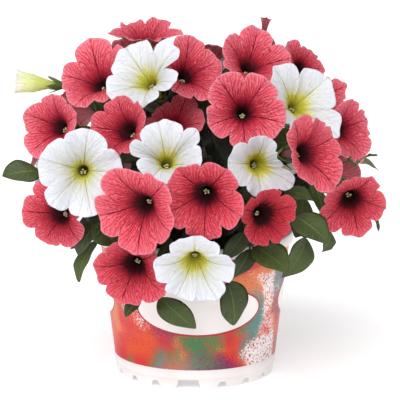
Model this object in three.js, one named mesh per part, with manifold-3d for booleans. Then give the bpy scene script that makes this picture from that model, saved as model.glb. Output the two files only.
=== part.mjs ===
// A potted petunia: coral-red and white blooms in a mound over a white plastic pot.
// Millimetres, +Z up. The origin is the centre of the pot's foot, and the plant's best side faces -Y.
import * as THREE from "three";
import { mergeVertices } from "three/addons/utils/BufferGeometryUtils.js";
import Module from "manifold-3d";

const wasm = await Module();
wasm.setup();

const { degToRad, radToDeg, euclideanModulo } = THREE.MathUtils;
const UP = new THREE.Vector3(0, 0, 1);

// Clearance between pieces that touch, and how far a joined solid's points may move as it is tidied
const GAP = 0.3;
const TIDY = 0.05;

// Pot: height, outer radii, wall, rim band, and the skirt under the floor that is cut into feet
const POT_HEIGHT = 119;
const POT_RIM_RADIUS = 81;
const POT_FOOT_RADIUS = 64.5;
const WALL = 1.6;
const RIM_HEIGHT = 9;
const RIM_OVERHANG = 2;
const SKIRT_HEIGHT = 9;
const SKIRT_WALL = 3;
const LEDGE = 0.7;
const POT_SEGMENTS = 36;
const GAP_ANGLE = 16;
const GAP_HEIGHT = 7.5;
const NOTCH_ANGLE = 6;
const NOTCH_HEIGHT = 5;
const FOOT_ANGLE = 14;
const FEET_TURN = -4.7;
const DRAIN_RADIUS = 5;
const DRAIN_CIRCLE = 42;
const DRAINS = 6;

// Soil: its height at the wall and in the middle, and the holes that the stems stand in
const SOIL_EDGE = 105;
const SOIL_MOUND = 4;
const HOLE_DEPTH = 14;

// Blooms: the limb's thickness, the tube that stands in the calyx, the throat, and the limb's flare
const PETAL_THICKNESS = 1;
const TUBE_LENGTH = 22;
const TUBE_END_RADIUS = 2;
const THROAT_RADIUS = 4.8;
const THROAT_DEPTH = 9;
const LOBES = 5;
const NOTCH_SHARE = 0.13;
const LIMB_RISE = 19;
const LIMB_CURVE = 1.8;
const LOBE_SWAY = 3.2;
const USUAL_RADIUS = 33;
const MID_LIMB = 0.42;

// Each bloom on the best side: name, colour, throat centre x y z, the azimuth (0 is -Y, 90 is +X) and elevation
// that it faces, radius, the five notches' angles anticlockwise from the bloom's right, and the lobes' lengths
// as percentages
const FRONT_BLOOMS = [
  ["bloom_01", "coral", -74, -34, 243, -32, 41, 32, [8, 80, 152, 224, 296], [100, 108, 88, 92, 98]],
  ["bloom_02", "coral", -41, 20, 265, 4, 78, 30, [15, 87, 159, 231, 303], [76, 72, 94, 88, 98]],
  ["bloom_03", "coral", -9, -34, 250, 29, 38, 29.5, [42, 114, 186, 258, 330], [98, 98, 100, 106, 88]],
  ["bloom_04", "coral", 42, -16, 253, 30, 44, 30, [28, 98, 172, 244, 316], [104, 92, 108, 92, 106]],
  ["bloom_05", "coral", 85, 28, 246, 40, 32, 21, [12, 84, 156, 228, 300], [70, 112, 90, 90, 80]],
  ["bloom_06", "coral", 38, -56, 225, 6, 20, 33, [20, 89, 169, 236, 300], [94, 101, 95, 94, 100]],
  ["bloom_07", "coral", -50, -88, 216, -36, 27, 29, [6, 78, 152, 222, 294], [84, 88, 102, 92, 86]],
  ["bloom_08", "coral", -17, -44, 210, 0, 46, 26, [30, 98, 172, 244, 316], [101, 60, 98, 90, 94]],
  ["bloom_09", "coral", -106, -43, 211, -36, 18, 28.5, [58, 130, 202, 274, 346], [86, 92, 104, 95, 88]],
  ["bloom_10", "coral", -105, -66, 146, -28, 4, 28, [71, 143, 213, 287, 359], [108, 103, 84, 106, 90]],
  ["bloom_11", "coral", -37, -122, 168, -25, -12, 37, [15, 75, 155, 231, 299], [102, 102, 97, 100, 86]],
  ["bloom_12", "coral", 9, -126, 177, -7, -8, 34.5, [17, 94, 166, 238, 302], [95, 91, 93, 98, 92]],
  ["bloom_13", "coral", 82, -101, 202, 42, 10, 32, [56, 84, 170, 262, 345], [82, 106, 72, 110, 84]],
  ["bloom_14", "coral", 115, -11, 204, 44, 6, 27, [50, 122, 194, 266, 338], [90, 100, 82, 114, 82]],
  ["bloom_15", "coral", 99, 11, 224, 40, 28, 22, [46, 118, 190, 262, 334], [70, 88, 86, 68, 110]],
  ["bloom_16", "coral", 124, -54, 158, 10, -18, 30, [34, 100, 174, 246, 318], [96, 87, 98, 90, 85]],
  ["bloom_17", "coral", 50, -112, 157, 28, -2, 25, [50, 122, 194, 280, 340], [90, 92, 94, 100, 106]],
  ["bloom_18", "coral", -46, -100, 115, -18, -12, 32, [0, 72, 144, 216, 289], [88, 80, 93, 93, 102]],
  ["bloom_19", "white", -35, -62, 250, -28, 38, 33, [18, 83, 187, 257, 325], [103, 87, 96, 93, 94]],
  ["bloom_20", "white", 79, -34, 226, 30, 27, 31, [-21, 83, 160, 225, 280], [96, 107, 93, 92, 122]],
  ["bloom_21", "white", -22, -114, 197, 3, 36, 30, [20, 57, 148, 184, 290], [100, 98, 98, 84, 90]],
  ["bloom_22", "white", -88, -94, 187, -5, 8, 36, [41, 116, 206, 252, 322], [95, 91, 95, 98, 94]],
  ["bloom_23", "white", 48, -79, 189, 21, 13, 30, [37, 125, 227, 300, 345], [72, 96, 89, 100, 42]],
  ["bloom_24", "white", 0, -116, 123, -1, -24, 34, [40, 138, 212, 272, 332], [97, 92, 90, 94, 91]],
];

// Each bloom on the far side: the same, with evenly spaced notches from one angle and drawn lobe lengths
const BACK_BLOOMS = [
  ["bloom_25", "coral", 108, 48, 156, 115, 2, 31, 10],
  ["bloom_26", "white", 66, 98, 150, 148, -4, 32, 30],
  ["bloom_27", "coral", 8, 118, 156, 178, -2, 33, 0],
  ["bloom_28", "coral", -56, 106, 148, 208, -6, 31, 20],
  ["bloom_29", "white", -104, 62, 154, 242, 0, 31, 5],
  ["bloom_30", "coral", 94, 66, 206, 130, 22, 30, 40],
  ["bloom_31", "white", 38, 94, 206, 162, 26, 31, 15],
  ["bloom_32", "coral", -24, 98, 202, 192, 22, 31, 50],
  ["bloom_33", "coral", -80, 76, 204, 224, 24, 30, 25],
  ["bloom_34", "coral", -112, 16, 190, 265, 12, 29, 35],
  ["bloom_35", "coral", 56, 58, 240, 145, 48, 29, 60],
  ["bloom_36", "white", 2, 68, 231, 182, 48, 30, 5],
  ["bloom_37", "coral", -54, 58, 238, 212, 44, 29, 45],
  ["bloom_38", "coral", -84, 18, 232, 262, 44, 25, 20],
  ["bloom_39", "coral", 10, 22, 250, 175, 74, 25, 0],
];

// Half-opened buds, small and narrow: the same, how far the furled limb reaches, and the throat's radius
const BUDS = [
  ["bud_yellow", "lime", -130, -30, 245, -92, 4, 10, 0, 14, 7],
  ["bud_coral", "coral", 56, 8, 280, 40, 80, 2.6, 0, 12, 1.5],
];

// Each leafy stem: name, root x y, and the blooms it carries, the first at its own end
const STEMS = [
  ["stem_01", -16, -32, ["bloom_18", "bloom_11"]],
  ["stem_02", 4, -40, ["bloom_24", "bloom_12"]],
  ["stem_03", -38, -28, ["bloom_10", "bloom_22"]],
  ["stem_04", -46, -6, ["bloom_09", "bloom_01", "bud_yellow"]],
  ["stem_05", -26, -14, ["bloom_07", "bloom_21"]],
  ["stem_06", -8, -16, ["bloom_19", "bloom_08"]],
  ["stem_07", -18, 8, ["bloom_02", "bloom_03", "bloom_39"]],
  ["stem_08", 14, -4, ["bloom_04", "bloom_06", "bud_coral"]],
  ["stem_09", 22, -30, ["bloom_17", "bloom_23"]],
  ["stem_10", 30, -14, ["bloom_20", "bloom_13"]],
  ["stem_11", 46, -26, ["bloom_16"]],
  ["stem_12", 46, -4, ["bloom_05", "bloom_15", "bloom_14"]],
  ["stem_13", 46, 20, ["bloom_25", "bloom_30"]],
  ["stem_14", 26, 38, ["bloom_26", "bloom_31", "bloom_35"]],
  ["stem_15", 4, 42, ["bloom_27", "bloom_32", "bloom_36"]],
  ["stem_16", -26, 36, ["bloom_28", "bloom_33", "bloom_37"]],
  ["stem_17", -46, 16, ["bloom_29", "bloom_34", "bloom_38"]],
];
const STEM_RADIUS = 2.1;
const PEDICEL_RADIUS = 1.2;
const STEM_SIDES = 5;
const MAIN_STEPS = 7;
const STALK_STEPS = 3;
const BRANCH_SHARES = [0.52, 0.66];

// Calyx: where it starts under the throat, its five sepals' tips, and the valleys between them
const CALYX_START = 29;
const SEPAL_TIP = [8.2, -11];
const SEPAL_VALLEY = [4.4, -20];
const SEPAL_THICKNESS = 0.8;

// Leaves: thickness, how far the halves fold up and the midrib arches, the petiole's half width,
// and the blade's half width at two shares of its length
const LEAF_THICKNESS = 1;
const LEAF_FOLD = 0.2;
const LEAF_ARCH = 0.13;
const PETIOLE_WIDTH = 0.9;
const BLADE_ROWS = [
  [0.26, 0.95],
  [0.62, 0.88],
];

// Leaves set by hand: stem, blade base x y z, tip x y z, half width, and the azimuth that the leaf faces
const SET_LEAVES = [
  ["stem_03", -70, -81, 148, -93, -76, 113, 11, -41],
  ["stem_03", -78, -66, 125, -93, -66, 89, 9, -50],
  ["stem_03", -81, -84, 141, -60, -84, 124, 10, -10],
  ["stem_09", 40, -86, 136, 22, -92, 113, 8, 15],
  ["stem_09", 44, -86, 122, 29, -94, 99, 9, 22],
  ["stem_09", 46, -86, 123, 74, -94, 104, 14, 28],
  ["stem_11", 89, -61, 125, 69, -78, 96, 13, 56],
  ["stem_11", 78, -77, 147, 106, -87, 126, 13, 15],
  ["stem_11", 109, -56, 129, 102, -61, 113, 7, 63],
  ["stem_11", 88, -58, 158, 80, -66, 126, 13, 10],
  ["stem_11", 136, -44, 148, 148, -50, 127, 4.5, 60],
  ["stem_11", 96, -46, 166, 104, -50, 138, 9, 20],
  ["stem_01", -28, -90, 83, 1, -93, 58, 11, -17],
  ["stem_01", -44, -84, 80, -55, -88, 66, 6, -28],
  ["stem_01", -21, -90, 132, -28, -93, 108, 7, -12],
  ["stem_02", 26, -92, 97, 31, -91, 60, 13, 16],
  ["stem_04", -124, -46, 176, -155, -46, 172, 11, -15],
  ["stem_12", 130, -26, 177, 148, -26, 185, 6, 50],
  ["stem_10", 72, -71, 165, 93, -71, 158, 8, 45],
  ["stem_15", 36, 112, 118, 48, 144, 108, 11, 162],
  ["stem_15", 2, 112, 114, -6, 156, 102, 11, 179],
  ["stem_13", 126, 14, 172, 152, 22, 162, 9, 96],
];

// Leaves placed by rule: tries a leaf, lengths, proportion, and the clearances that each of its points keeps
const LEAF_SHARES = [0.4, 0.52, 0.64, 0.76, 0.88];
const PEDICEL_LEAF_SHARES = [0.35, 0.7];
const LEAF_TRIES = 24;
const LEAF_LENGTH = 42;
const LEAF_LEAST_SHARE = 0.6;
const LEAF_PROPORTION = 0.3;
const PETIOLE_LENGTH = 7;
const BLOOM_CLEAR = 3.5;
const CALYX_CLEAR = 10.5;
const STEM_CLEAR = 4;
const LEAF_CLEAR = 8.5;
const SAMPLE_ROWS = [[0.12, 0.5], [0.3, 0.94], [0.47, 0.95], [0.64, 0.84], [0.82, 0.45], [1, 0]];
const SAMPLE_ACROSS = [-1, -0.5, 0, 0.5, 1];
const SHELL_CENTRE = new THREE.Vector3(0, 0, 130);
const SHELL_REACH = new THREE.Vector3(132, 132, 145);

// A repeatable draw between 0 and 1 from two whole numbers
function draw(i, k) {
  const s = Math.sin(i * 12.9898 + k * 78.233) * 43758.5453;
  return s - Math.floor(s);
}

// The unit vector that a bloom faces, from its azimuth and elevation
function facing(azimuth, elevation) {
  const a = degToRad(azimuth);
  const e = degToRad(elevation);
  return new THREE.Vector3(Math.sin(a) * Math.cos(e), -Math.cos(a) * Math.cos(e), Math.sin(e));
}

// A bloom's or bud's frame: its own +Z is the way it faces, from the centre of its throat
function bloomOf([name, colour, x, y, z, azimuth, elevation, radius, notches, lengths], index) {
  const axis = facing(azimuth, elevation);
  const side = UP.clone().cross(axis).normalize();
  const frame = new THREE.Matrix4().makeBasis(side, axis.clone().cross(side), axis).setPosition(x, y, z);
  const rise = (LIMB_RISE * radius) / USUAL_RADIUS;
  const throat = THROAT_RADIUS;
  const inverse = frame.clone().invert();
  return { name, colour, axis, frame, inverse, radius, notches, lengths, rise, throat, index };
}

// The angles of evenly spaced notches
function evenNotches(first) {
  return Array.from({ length: LOBES }, (_, i) => first + (360 / LOBES) * i);
}

function drawnLengths(index) {
  return Array.from({ length: LOBES }, (_, lobe) => 100 + 12 * (draw(index, lobe) - 0.5));
}

const blooms = [
  ...FRONT_BLOOMS.map(bloomOf),
  ...BACK_BLOOMS.map((row, i) => {
    const index = FRONT_BLOOMS.length + i;
    return bloomOf([...row.slice(0, 8), evenNotches(row[8]), drawnLengths(index)], index);
  }),
  ...BUDS.map((row, i) => {
    const index = FRONT_BLOOMS.length + BACK_BLOOMS.length + i;
    const bud = bloomOf([...row.slice(0, 8), evenNotches(row[8]), drawnLengths(index)], index);
    return { ...bud, rise: row[9], throat: row[10] };
  }),
];

// The lobe that an angle lies in, and how far across it: 0 and 1 at its notches, 0.5 on the midrib
function lobePhase(bloom, angle) {
  const first = bloom.notches[0];
  const turned = euclideanModulo(radToDeg(angle) - first, 360);
  const lobe = bloom.notches.findLastIndex((notch) => notch - first <= turned + 1e-6);
  const start = bloom.notches[lobe] - first;
  const end = lobe + 1 < LOBES ? bloom.notches[lobe + 1] - first : 360;
  return [lobe, (turned - start) / (end - start)];
}

// The limb's outline radius at an angle
function rimRadius(bloom, angle) {
  const [lobe, phase] = lobePhase(bloom, angle);
  const off = Math.abs(2 * phase - 1);
  const own = bloom.lengths[lobe];
  const beside = bloom.lengths[(lobe + (phase > 0.5 ? 1 : LOBES - 1)) % LOBES];
  const length = (own + ((beside - own) / 2) * off * off) / 100;
  return bloom.radius * length * (1 - NOTCH_SHARE * off ** 4);
}

// The limb's height over the throat, at an angle and a share of the way out to the rim
function limbHeight(bloom, angle, share) {
  const [lobe, phase] = lobePhase(bloom, angle);
  const sway = LOBE_SWAY * (bloom.radius / USUAL_RADIUS) * (2 * draw(bloom.index, 10 + lobe) - 1);
  const bowl = (1 - Math.exp(-LIMB_CURVE * share)) / (1 - Math.exp(-LIMB_CURVE));
  return bloom.rise * bowl + sway * Math.sin(Math.PI * phase) ** 2 * share * share;
}

// A closed mesh under construction: points, and triangles between them
class Shell {
  constructor() {
    this.points = [];
    this.triangles = [];
  }
  add(points) {
    const start = this.points.length;
    this.points.push(...points);
    return points.map((_, i) => start + i);
  }
  // Triangles between two rings of any counts, facing along the axis that they turn anticlockwise about
  band(inner, outer, flip = false) {
    let i = 0;
    let j = 0;
    const m = inner.length;
    const n = outer.length;
    const steps = (m > 1 ? m : 0) + (n > 1 ? n : 0);
    for (let k = 0; k < steps; k++) {
      const outerNext = m === 1 || (n > 1 && (j + 1) * m <= (i + 1) * n);
      const a = inner[i % m];
      const b = outer[j % n];
      const c = outerNext ? outer[(j + 1) % n] : inner[(i + 1) % m];
      this.triangles.push(flip ? [a, c, b] : [a, b, c]);
      if (outerNext) j++;
      else i++;
    }
  }
  // Triangles between two open rows of any counts, from left to right
  strip(near, far, flip = false) {
    let i = 0;
    let j = 0;
    while (i < near.length - 1 || j < far.length - 1) {
      const farNext = j < far.length - 1 && (j + 1) * (near.length - 1) <= (i + 1) * (far.length - 1);
      const c = farNext ? far[j + 1] : near[i + 1];
      this.triangles.push(flip ? [near[i], far[j], c] : [near[i], c, far[j]]);
      if (farNext) j++;
      else i++;
    }
  }
  geometry() {
    const g = new THREE.BufferGeometry();
    g.setAttribute("position", new THREE.Float32BufferAttribute(this.points.flatMap((p) => p.toArray()), 3));
    g.setIndex(this.triangles.flat());
    return g;
  }
}

// Points round a ring of a radius at a height
function ring(count, radius, z) {
  return Array.from({ length: count }, (_, i) => {
    const angle = (2 * Math.PI * i) / count;
    return new THREE.Vector3(radius * Math.cos(angle), radius * Math.sin(angle), z);
  });
}

// A whole corolla: the tube's end, its outside, the limb's back and front, and the throat's pit
function bloomGeometry(bloom, tubeLength = TUBE_LENGTH) {
  const shell = new Shell();
  const scale = Math.min(1, bloom.radius / 20);
  const { throat } = bloom;
  const ends = [...bloom.notches.slice(1), bloom.notches[0] + 360];
  // Angles round the limb, with the same number of steps across each lobe
  const angles = (steps) =>
    bloom.notches.flatMap((notch, lobe) =>
      Array.from({ length: steps }, (_, i) => degToRad(notch + ((ends[lobe] - notch) * i) / steps)),
    );
  const limb = (steps, share, lift) =>
    angles(steps).map((angle) => {
      const r = throat + (rimRadius(bloom, angle) - throat) * share;
      const z = limbHeight(bloom, angle, share) + lift;
      return new THREE.Vector3(r * Math.cos(angle), r * Math.sin(angle), z);
    });
  const circle = (steps, radius, z) =>
    angles(steps).map((angle) => new THREE.Vector3(radius * Math.cos(angle), radius * Math.sin(angle), z));
  const back = [
    [new THREE.Vector3(0, 0, -tubeLength)],
    circle(1, TUBE_END_RADIUS * Math.sqrt(scale), -tubeLength),
    circle(2, throat + PETAL_THICKNESS, -PETAL_THICKNESS),
    limb(2, MID_LIMB, -PETAL_THICKNESS),
    limb(3, 1, -PETAL_THICKNESS),
  ].map((points) => shell.add(points));
  const front = [
    [new THREE.Vector3(0, 0, -THROAT_DEPTH * scale)],
    circle(2, throat, 0),
    limb(2, MID_LIMB, 0),
    limb(3, 1, 0),
  ].map((points) => shell.add(points));
  for (let i = 1; i < back.length; i++) shell.band(back[i - 1], back[i], true);
  for (let i = 1; i < front.length; i++) shell.band(front[i - 1], front[i]);
  shell.band(front.at(-1), back.at(-1));
  return shell.geometry().applyMatrix4(bloom.frame);
}

// A stem or stalk with the calyx at its end: a tapering tube up to the calyx, whose cone opens into five
// pointed sepals. The tube's section is carried back from the bloom's frame without twist
function stalkGeometry(points, startRadius, bloom) {
  const shell = new Shell();
  const star = (inset) =>
    Array.from({ length: 2 * LOBES }, (_, i) => {
      const [outside, z] = i % 2 ? SEPAL_VALLEY : SEPAL_TIP;
      const radius = outside - inset;
      const angle = (Math.PI * i) / LOBES;
      return new THREE.Vector3(radius * Math.cos(angle), radius * Math.sin(angle), z + inset / 4);
    });
  const inBloom = (points) => shell.add(points.map((p) => p.applyMatrix4(bloom.frame)));
  const outside = inBloom(star(0));
  const inside = inBloom(star(SEPAL_THICKNESS));
  const seat = inBloom(ring(LOBES, (TUBE_END_RADIUS + GAP) / Math.cos(Math.PI / LOBES), -TUBE_LENGTH - GAP));
  shell.band(inside, outside);
  shell.band(seat, inside);
  shell.band(inBloom([new THREE.Vector3(0, 0, -TUBE_LENGTH - GAP)]), seat);
  let across = new THREE.Vector3().setFromMatrixColumn(bloom.frame, 0);
  let above = outside;
  for (let i = points.length - 1; i >= 0; i--) {
    const after = points[Math.min(i + 1, points.length - 1)];
    const along = after.clone().sub(points[Math.max(i - 1, 0)]).normalize();
    across = across.clone().addScaledVector(along, -across.dot(along)).normalize();
    const over = along.clone().cross(across);
    const radius = startRadius + ((PEDICEL_RADIUS - startRadius) * i) / (points.length - 1);
    const section = ring(STEM_SIDES, radius, 0).map((p) =>
      points[i].clone().addScaledVector(across, p.x).addScaledVector(over, p.y),
    );
    const here = shell.add(section);
    shell.band(here, above, true);
    above = here;
  }
  shell.band(shell.add([points[0]]), above, true);
  return shell.geometry();
}

// A leaf: its petiole's start, its midrib as a curve arched to the side that it faces, and its own directions
function leafOf(start, base, tip, halfWidth, faceHint) {
  const along = tip.clone().sub(base);
  const side = tip.clone().sub(start).cross(faceHint).normalize();
  const face = side.clone().cross(along).normalize();
  const middle = base.clone().lerp(tip, 0.5).addScaledVector(face, 2 * LEAF_ARCH * along.length());
  const petioleFace = side.clone().cross(base.clone().sub(start)).normalize();
  return { start, rib: new THREE.QuadraticBezierCurve3(base, middle, tip), side, face, petioleFace, halfWidth };
}

// A point on a leaf: a share along its midrib, and across it from -1 to 1 of its half width there
function leafPoint(leaf, share, width, across) {
  const reach = leaf.halfWidth * width * across;
  return leaf.rib
    .getPoint(share)
    .addScaledVector(leaf.side, reach)
    .addScaledVector(leaf.face, LEAF_FOLD * Math.abs(reach));
}

// A leaf with its petiole: both faces are split into triangles alike, so that they can't cross
function leafGeometry(leaf) {
  const shell = new Shell();
  const middleFace = leaf.petioleFace.clone().add(leaf.face).normalize();
  const petiole = (middle) =>
    [-1, 1].map((across) => middle.clone().addScaledVector(leaf.side, PETIOLE_WIDTH * across));
  const blade = ([share, width]) => [-1, 0, 1].map((across) => leafPoint(leaf, share, width, across));
  const rows = [
    [petiole(leaf.start), leaf.petioleFace],
    [petiole(leaf.rib.getPoint(0)), middleFace],
    ...BLADE_ROWS.map((row) => [blade(row), leaf.face]),
  ];
  const lifted = (points, face, lift) => points.map((p) => p.clone().addScaledVector(face, lift));
  const sheet = (lift) => rows.map(([points, face]) => shell.add(lifted(points, face, lift)));
  const top = sheet(LEAF_THICKNESS / 2);
  const bottom = sheet(-LEAF_THICKNESS / 2);
  const tip = shell.add([leaf.rib.getPoint(1)]);
  top.push(tip);
  bottom.push(tip);
  shell.strip(bottom[0], top[0]);
  for (let i = 1; i < top.length; i++) {
    shell.strip(top[i - 1], top[i]);
    shell.strip(bottom[i - 1], bottom[i], true);
    const last = i + 1 === top.length;
    shell.strip([top[i - 1].at(-1), bottom[i - 1].at(-1)], last ? tip : [top[i].at(-1), bottom[i].at(-1)]);
    shell.strip([bottom[i - 1][0], top[i - 1][0]], last ? tip : [bottom[i][0], top[i][0]]);
  }
  return shell.geometry();
}

// The curve from one point and heading to another
function bend(start, startWay, end, endWay, pull = 0.4) {
  const reach = pull * start.distanceTo(end);
  const leave = start.clone().addScaledVector(startWay, reach);
  const arrive = end.clone().addScaledVector(endWay, -reach);
  return new THREE.CubicBezierCurve3(start, leave, arrive, end);
}

function soilTop(x, y) {
  const share = Math.hypot(x, y) / innerRadius(SOIL_EDGE);
  return SOIL_EDGE + SOIL_MOUND * (1 - share * share);
}

// The pot's wall: outside and inside radius at a height
function wallRadius(z) {
  return POT_FOOT_RADIUS + (POT_RIM_RADIUS - RIM_OVERHANG - POT_FOOT_RADIUS) * (z / POT_HEIGHT);
}
function innerRadius(z) {
  return wallRadius(z) - WALL;
}

// The point under a bloom's calyx where its stalk ends
function stalkEnd(bloom) {
  return new THREE.Vector3(0, 0, -CALYX_START).applyMatrix4(bloom.frame);
}

const bloomNamed = new Map(blooms.map((bloom) => [bloom.name, bloom]));
const stems = STEMS.map(([name, x, y, carried]) => {
  const root = new THREE.Vector3(x, y, soilTop(x, y));
  const foot = new THREE.Vector3(x, y, soilTop(x, y) - HOLE_DEPTH + GAP);
  const borne = carried.map((bloomName) => bloomNamed.get(bloomName));
  const main = bend(root, UP, stalkEnd(borne[0]), borne[0].axis, 0.44);
  const stalks = borne.slice(1).map((bloom, i) => {
    const share = BRANCH_SHARES[i];
    return bend(main.getPoint(share), main.getTangent(share), stalkEnd(bloom), bloom.axis);
  });
  return { name, foot, main, stalks, borne };
});

// Points close together along every stem and stalk, for the leaves to keep clear of
const stemPoints = stems.flatMap((stem) =>
  [stem.main, ...stem.stalks].flatMap((curve) => curve.getPoints(Math.ceil(curve.getLength() / 4))),
);

// Whether a point is clear of a bloom: behind its limb, and away from its tube and calyx
function clearOfBloom(bloom, point) {
  const p = point.clone().applyMatrix4(bloom.inverse);
  const r = Math.hypot(p.x, p.y);
  if (r < CALYX_CLEAR) return p.z < -CALYX_START - BLOOM_CLEAR || p.z > 2 * bloom.radius;
  const angle = Math.atan2(p.y, p.x);
  const rim = rimRadius(bloom, angle);
  if (r > rim + BLOOM_CLEAR) return true;
  const share = Math.min(1, (r - THROAT_RADIUS) / (rim - THROAT_RADIUS));
  return p.z < limbHeight(bloom, angle, share) - BLOOM_CLEAR || p.z > 2 * bloom.radius;
}

// Whether a point is clear of the pot and the soil
function clearOfPot(p) {
  const r = Math.hypot(p.x, p.y);
  if (p.z > POT_HEIGHT + STEM_CLEAR || r > POT_RIM_RADIUS + STEM_CLEAR) return true;
  return r < innerRadius(POT_HEIGHT) - STEM_CLEAR && p.z > SOIL_EDGE + 2 * STEM_CLEAR;
}

function insideShell(p) {
  const away = p.clone().sub(SHELL_CENTRE).divide(SHELL_REACH);
  return away.length() < 1;
}

// The points that a leaf is tested at
function leafSamples(leaf) {
  const points = [];
  for (const share of [0.4, 0.7, 1]) points.push(leaf.start.clone().lerp(leaf.rib.getPoint(0), share));
  for (const [share, width] of SAMPLE_ROWS)
    for (const across of width > 0 ? SAMPLE_ACROSS : [0]) points.push(leafPoint(leaf, share, width, across));
  return points;
}

function leafIsClear(samples, placed) {
  const far = (p, points, distance) => points.every((q) => p.distanceToSquared(q) > distance * distance);
  return samples.every(
    (p, i) =>
      insideShell(p) &&
      clearOfPot(p) &&
      blooms.every((bloom) => clearOfBloom(bloom, p)) &&
      (i < 2 || far(p, stemPoints, STEM_CLEAR)) &&
      far(p, placed, LEAF_CLEAR),
  );
}

// The first of a leaf's tries that is clear of everything: each try turns, tilts and shrinks it
function tryLeaf(curve, share, slot, placed) {
  const start = curve.getPoint(share);
  const out = start.clone().sub(SHELL_CENTRE).divide(SHELL_REACH).normalize();
  const level = UP.clone().cross(out).normalize();
  const rise = out.clone().cross(level);
  for (let k = 0; k < LEAF_TRIES; k++) {
    const turn = 2 * Math.PI * draw(slot, k);
    const tilt = degToRad(10 + 50 * draw(slot, 40 + k));
    const shrink = 1 - (1 - LEAF_LEAST_SHARE) * (k / LEAF_TRIES);
    const length = LEAF_LENGTH * shrink * (0.85 + 0.3 * draw(slot, 80));
    const way = level.clone().multiplyScalar(Math.cos(turn)).addScaledVector(rise, Math.sin(turn));
    way.multiplyScalar(Math.cos(tilt)).addScaledVector(out, Math.sin(tilt));
    const base = start.clone().addScaledVector(way, PETIOLE_LENGTH);
    const tip = base.clone().addScaledVector(way, length);
    const leaf = leafOf(start, base, tip, LEAF_PROPORTION * length, out);
    const samples = leafSamples(leaf);
    if (leafIsClear(samples, placed)) {
      placed.push(...samples);
      return leaf;
    }
  }
  return null;
}

// The point of some curves that is nearest to another point
function nearestPoint(curves, target) {
  const points = curves.flatMap((curve) => curve.getPoints(40));
  return points.reduce((a, b) => (a.distanceTo(target) < b.distanceTo(target) ? a : b));
}

// All leaves, listed for each stem: those set by hand first, then one for each slot that has room
function allLeaves() {
  const placed = [];
  const leaves = new Map(stems.map((stem) => [stem.name, []]));
  for (const [name, bx, by, bz, tx, ty, tz, halfWidth, azimuth] of SET_LEAVES) {
    const base = new THREE.Vector3(bx, by, bz);
    const tip = new THREE.Vector3(tx, ty, tz);
    const stem = stems.find((s) => s.name === name);
    const start = nearestPoint([stem.main, ...stem.stalks], base);
    const out = facing(azimuth, 0).addScaledVector(UP, 0.5);
    const leaf = leafOf(start, base, tip, halfWidth, out);
    placed.push(...leafSamples(leaf));
    leaves.get(name).push(leaf);
  }
  let slot = 0;
  for (const stem of stems) {
    const slots = LEAF_SHARES.map((share) => [stem.main, share]);
    for (const stalk of stem.stalks) slots.push(...PEDICEL_LEAF_SHARES.map((share) => [stalk, share]));
    for (const [curve, share] of slots) {
      const found = tryLeaf(curve, share, slot, placed);
      slot++;
      if (found) leaves.get(stem.name).push(found);
    }
  }
  return leaves;
}
const leaves = allLeaves();

// Solids: a closed geometry as a solid, joined or cut, and back
function solid(geometry) {
  const bare = new THREE.BufferGeometry().setAttribute("position", geometry.getAttribute("position"));
  bare.setIndex(geometry.index);
  const merged = mergeVertices(bare, 1e-4);
  const { array } = merged.attributes.position;
  return new wasm.Manifold(
    new wasm.Mesh({ numProp: 3, vertProperties: array, triVerts: new Uint32Array(merged.index.array) }),
  );
}
function geometryOf(made) {
  const mesh = made.asOriginal().simplify(TIDY).getMesh();
  const g = new THREE.BufferGeometry();
  g.setAttribute("position", new THREE.BufferAttribute(mesh.vertProperties, 3));
  return g.setIndex(new THREE.BufferAttribute(mesh.triVerts, 1));
}

// A leafy stem: the stem from its hole, its stalks, the calyces at their ends, and its leaves
function stemGeometry(stem) {
  const main = [stem.foot, ...stem.main.getPoints(MAIN_STEPS)];
  const pieces = [
    stalkGeometry(main, STEM_RADIUS, stem.borne[0]),
    ...stem.stalks.map((stalk, i) => {
      const points = stalk.getPoints(STALK_STEPS);
      return stalkGeometry(points, PEDICEL_RADIUS, stem.borne[i + 1]);
    }),
    ...leaves.get(stem.name).map(leafGeometry),
  ];
  return geometryOf(wasm.Manifold.union(pieces.map(solid)));
}

function lathe(profile) {
  const outline = profile.map(([r, z]) => new THREE.Vector2(r, z));
  return new THREE.LatheGeometry(outline, POT_SEGMENTS).rotateX(Math.PI / 2);
}

// The soil that fills the pot, with a plain hole for each stem
function soilGeometry() {
  const floor = SKIRT_HEIGHT + WALL + GAP;
  const edge = innerRadius(SOIL_EDGE) - GAP;
  const profile = [
    [0, floor],
    [innerRadius(floor) - GAP, floor],
    [edge, SOIL_EDGE],
    [edge * 0.6, soilTop(edge * 0.6, 0)],
    [0, soilTop(0, 0)],
  ];
  let soil = solid(lathe(profile));
  for (const { foot } of stems) {
    const height = HOLE_DEPTH + 2 * SOIL_MOUND;
    const radius = (STEM_RADIUS + GAP) / Math.cos(Math.PI / 6);
    const hole = new THREE.CylinderGeometry(radius, radius, height, 6).rotateX(Math.PI / 2);
    hole.translate(foot.x, foot.y, foot.z - GAP + height / 2);
    soil = soil.subtract(solid(hole));
  }
  return geometryOf(soil);
}

// A radial box that cuts one gap through the skirt
function skirtCut(azimuth, width, height) {
  const cut = new THREE.BoxGeometry(width, 4 * SKIRT_WALL, 2 * height);
  cut.translate(0, -POT_FOOT_RADIUS + SKIRT_WALL / 2, 0);
  return solid(cut.rotateZ(degToRad(azimuth)));
}

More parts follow.
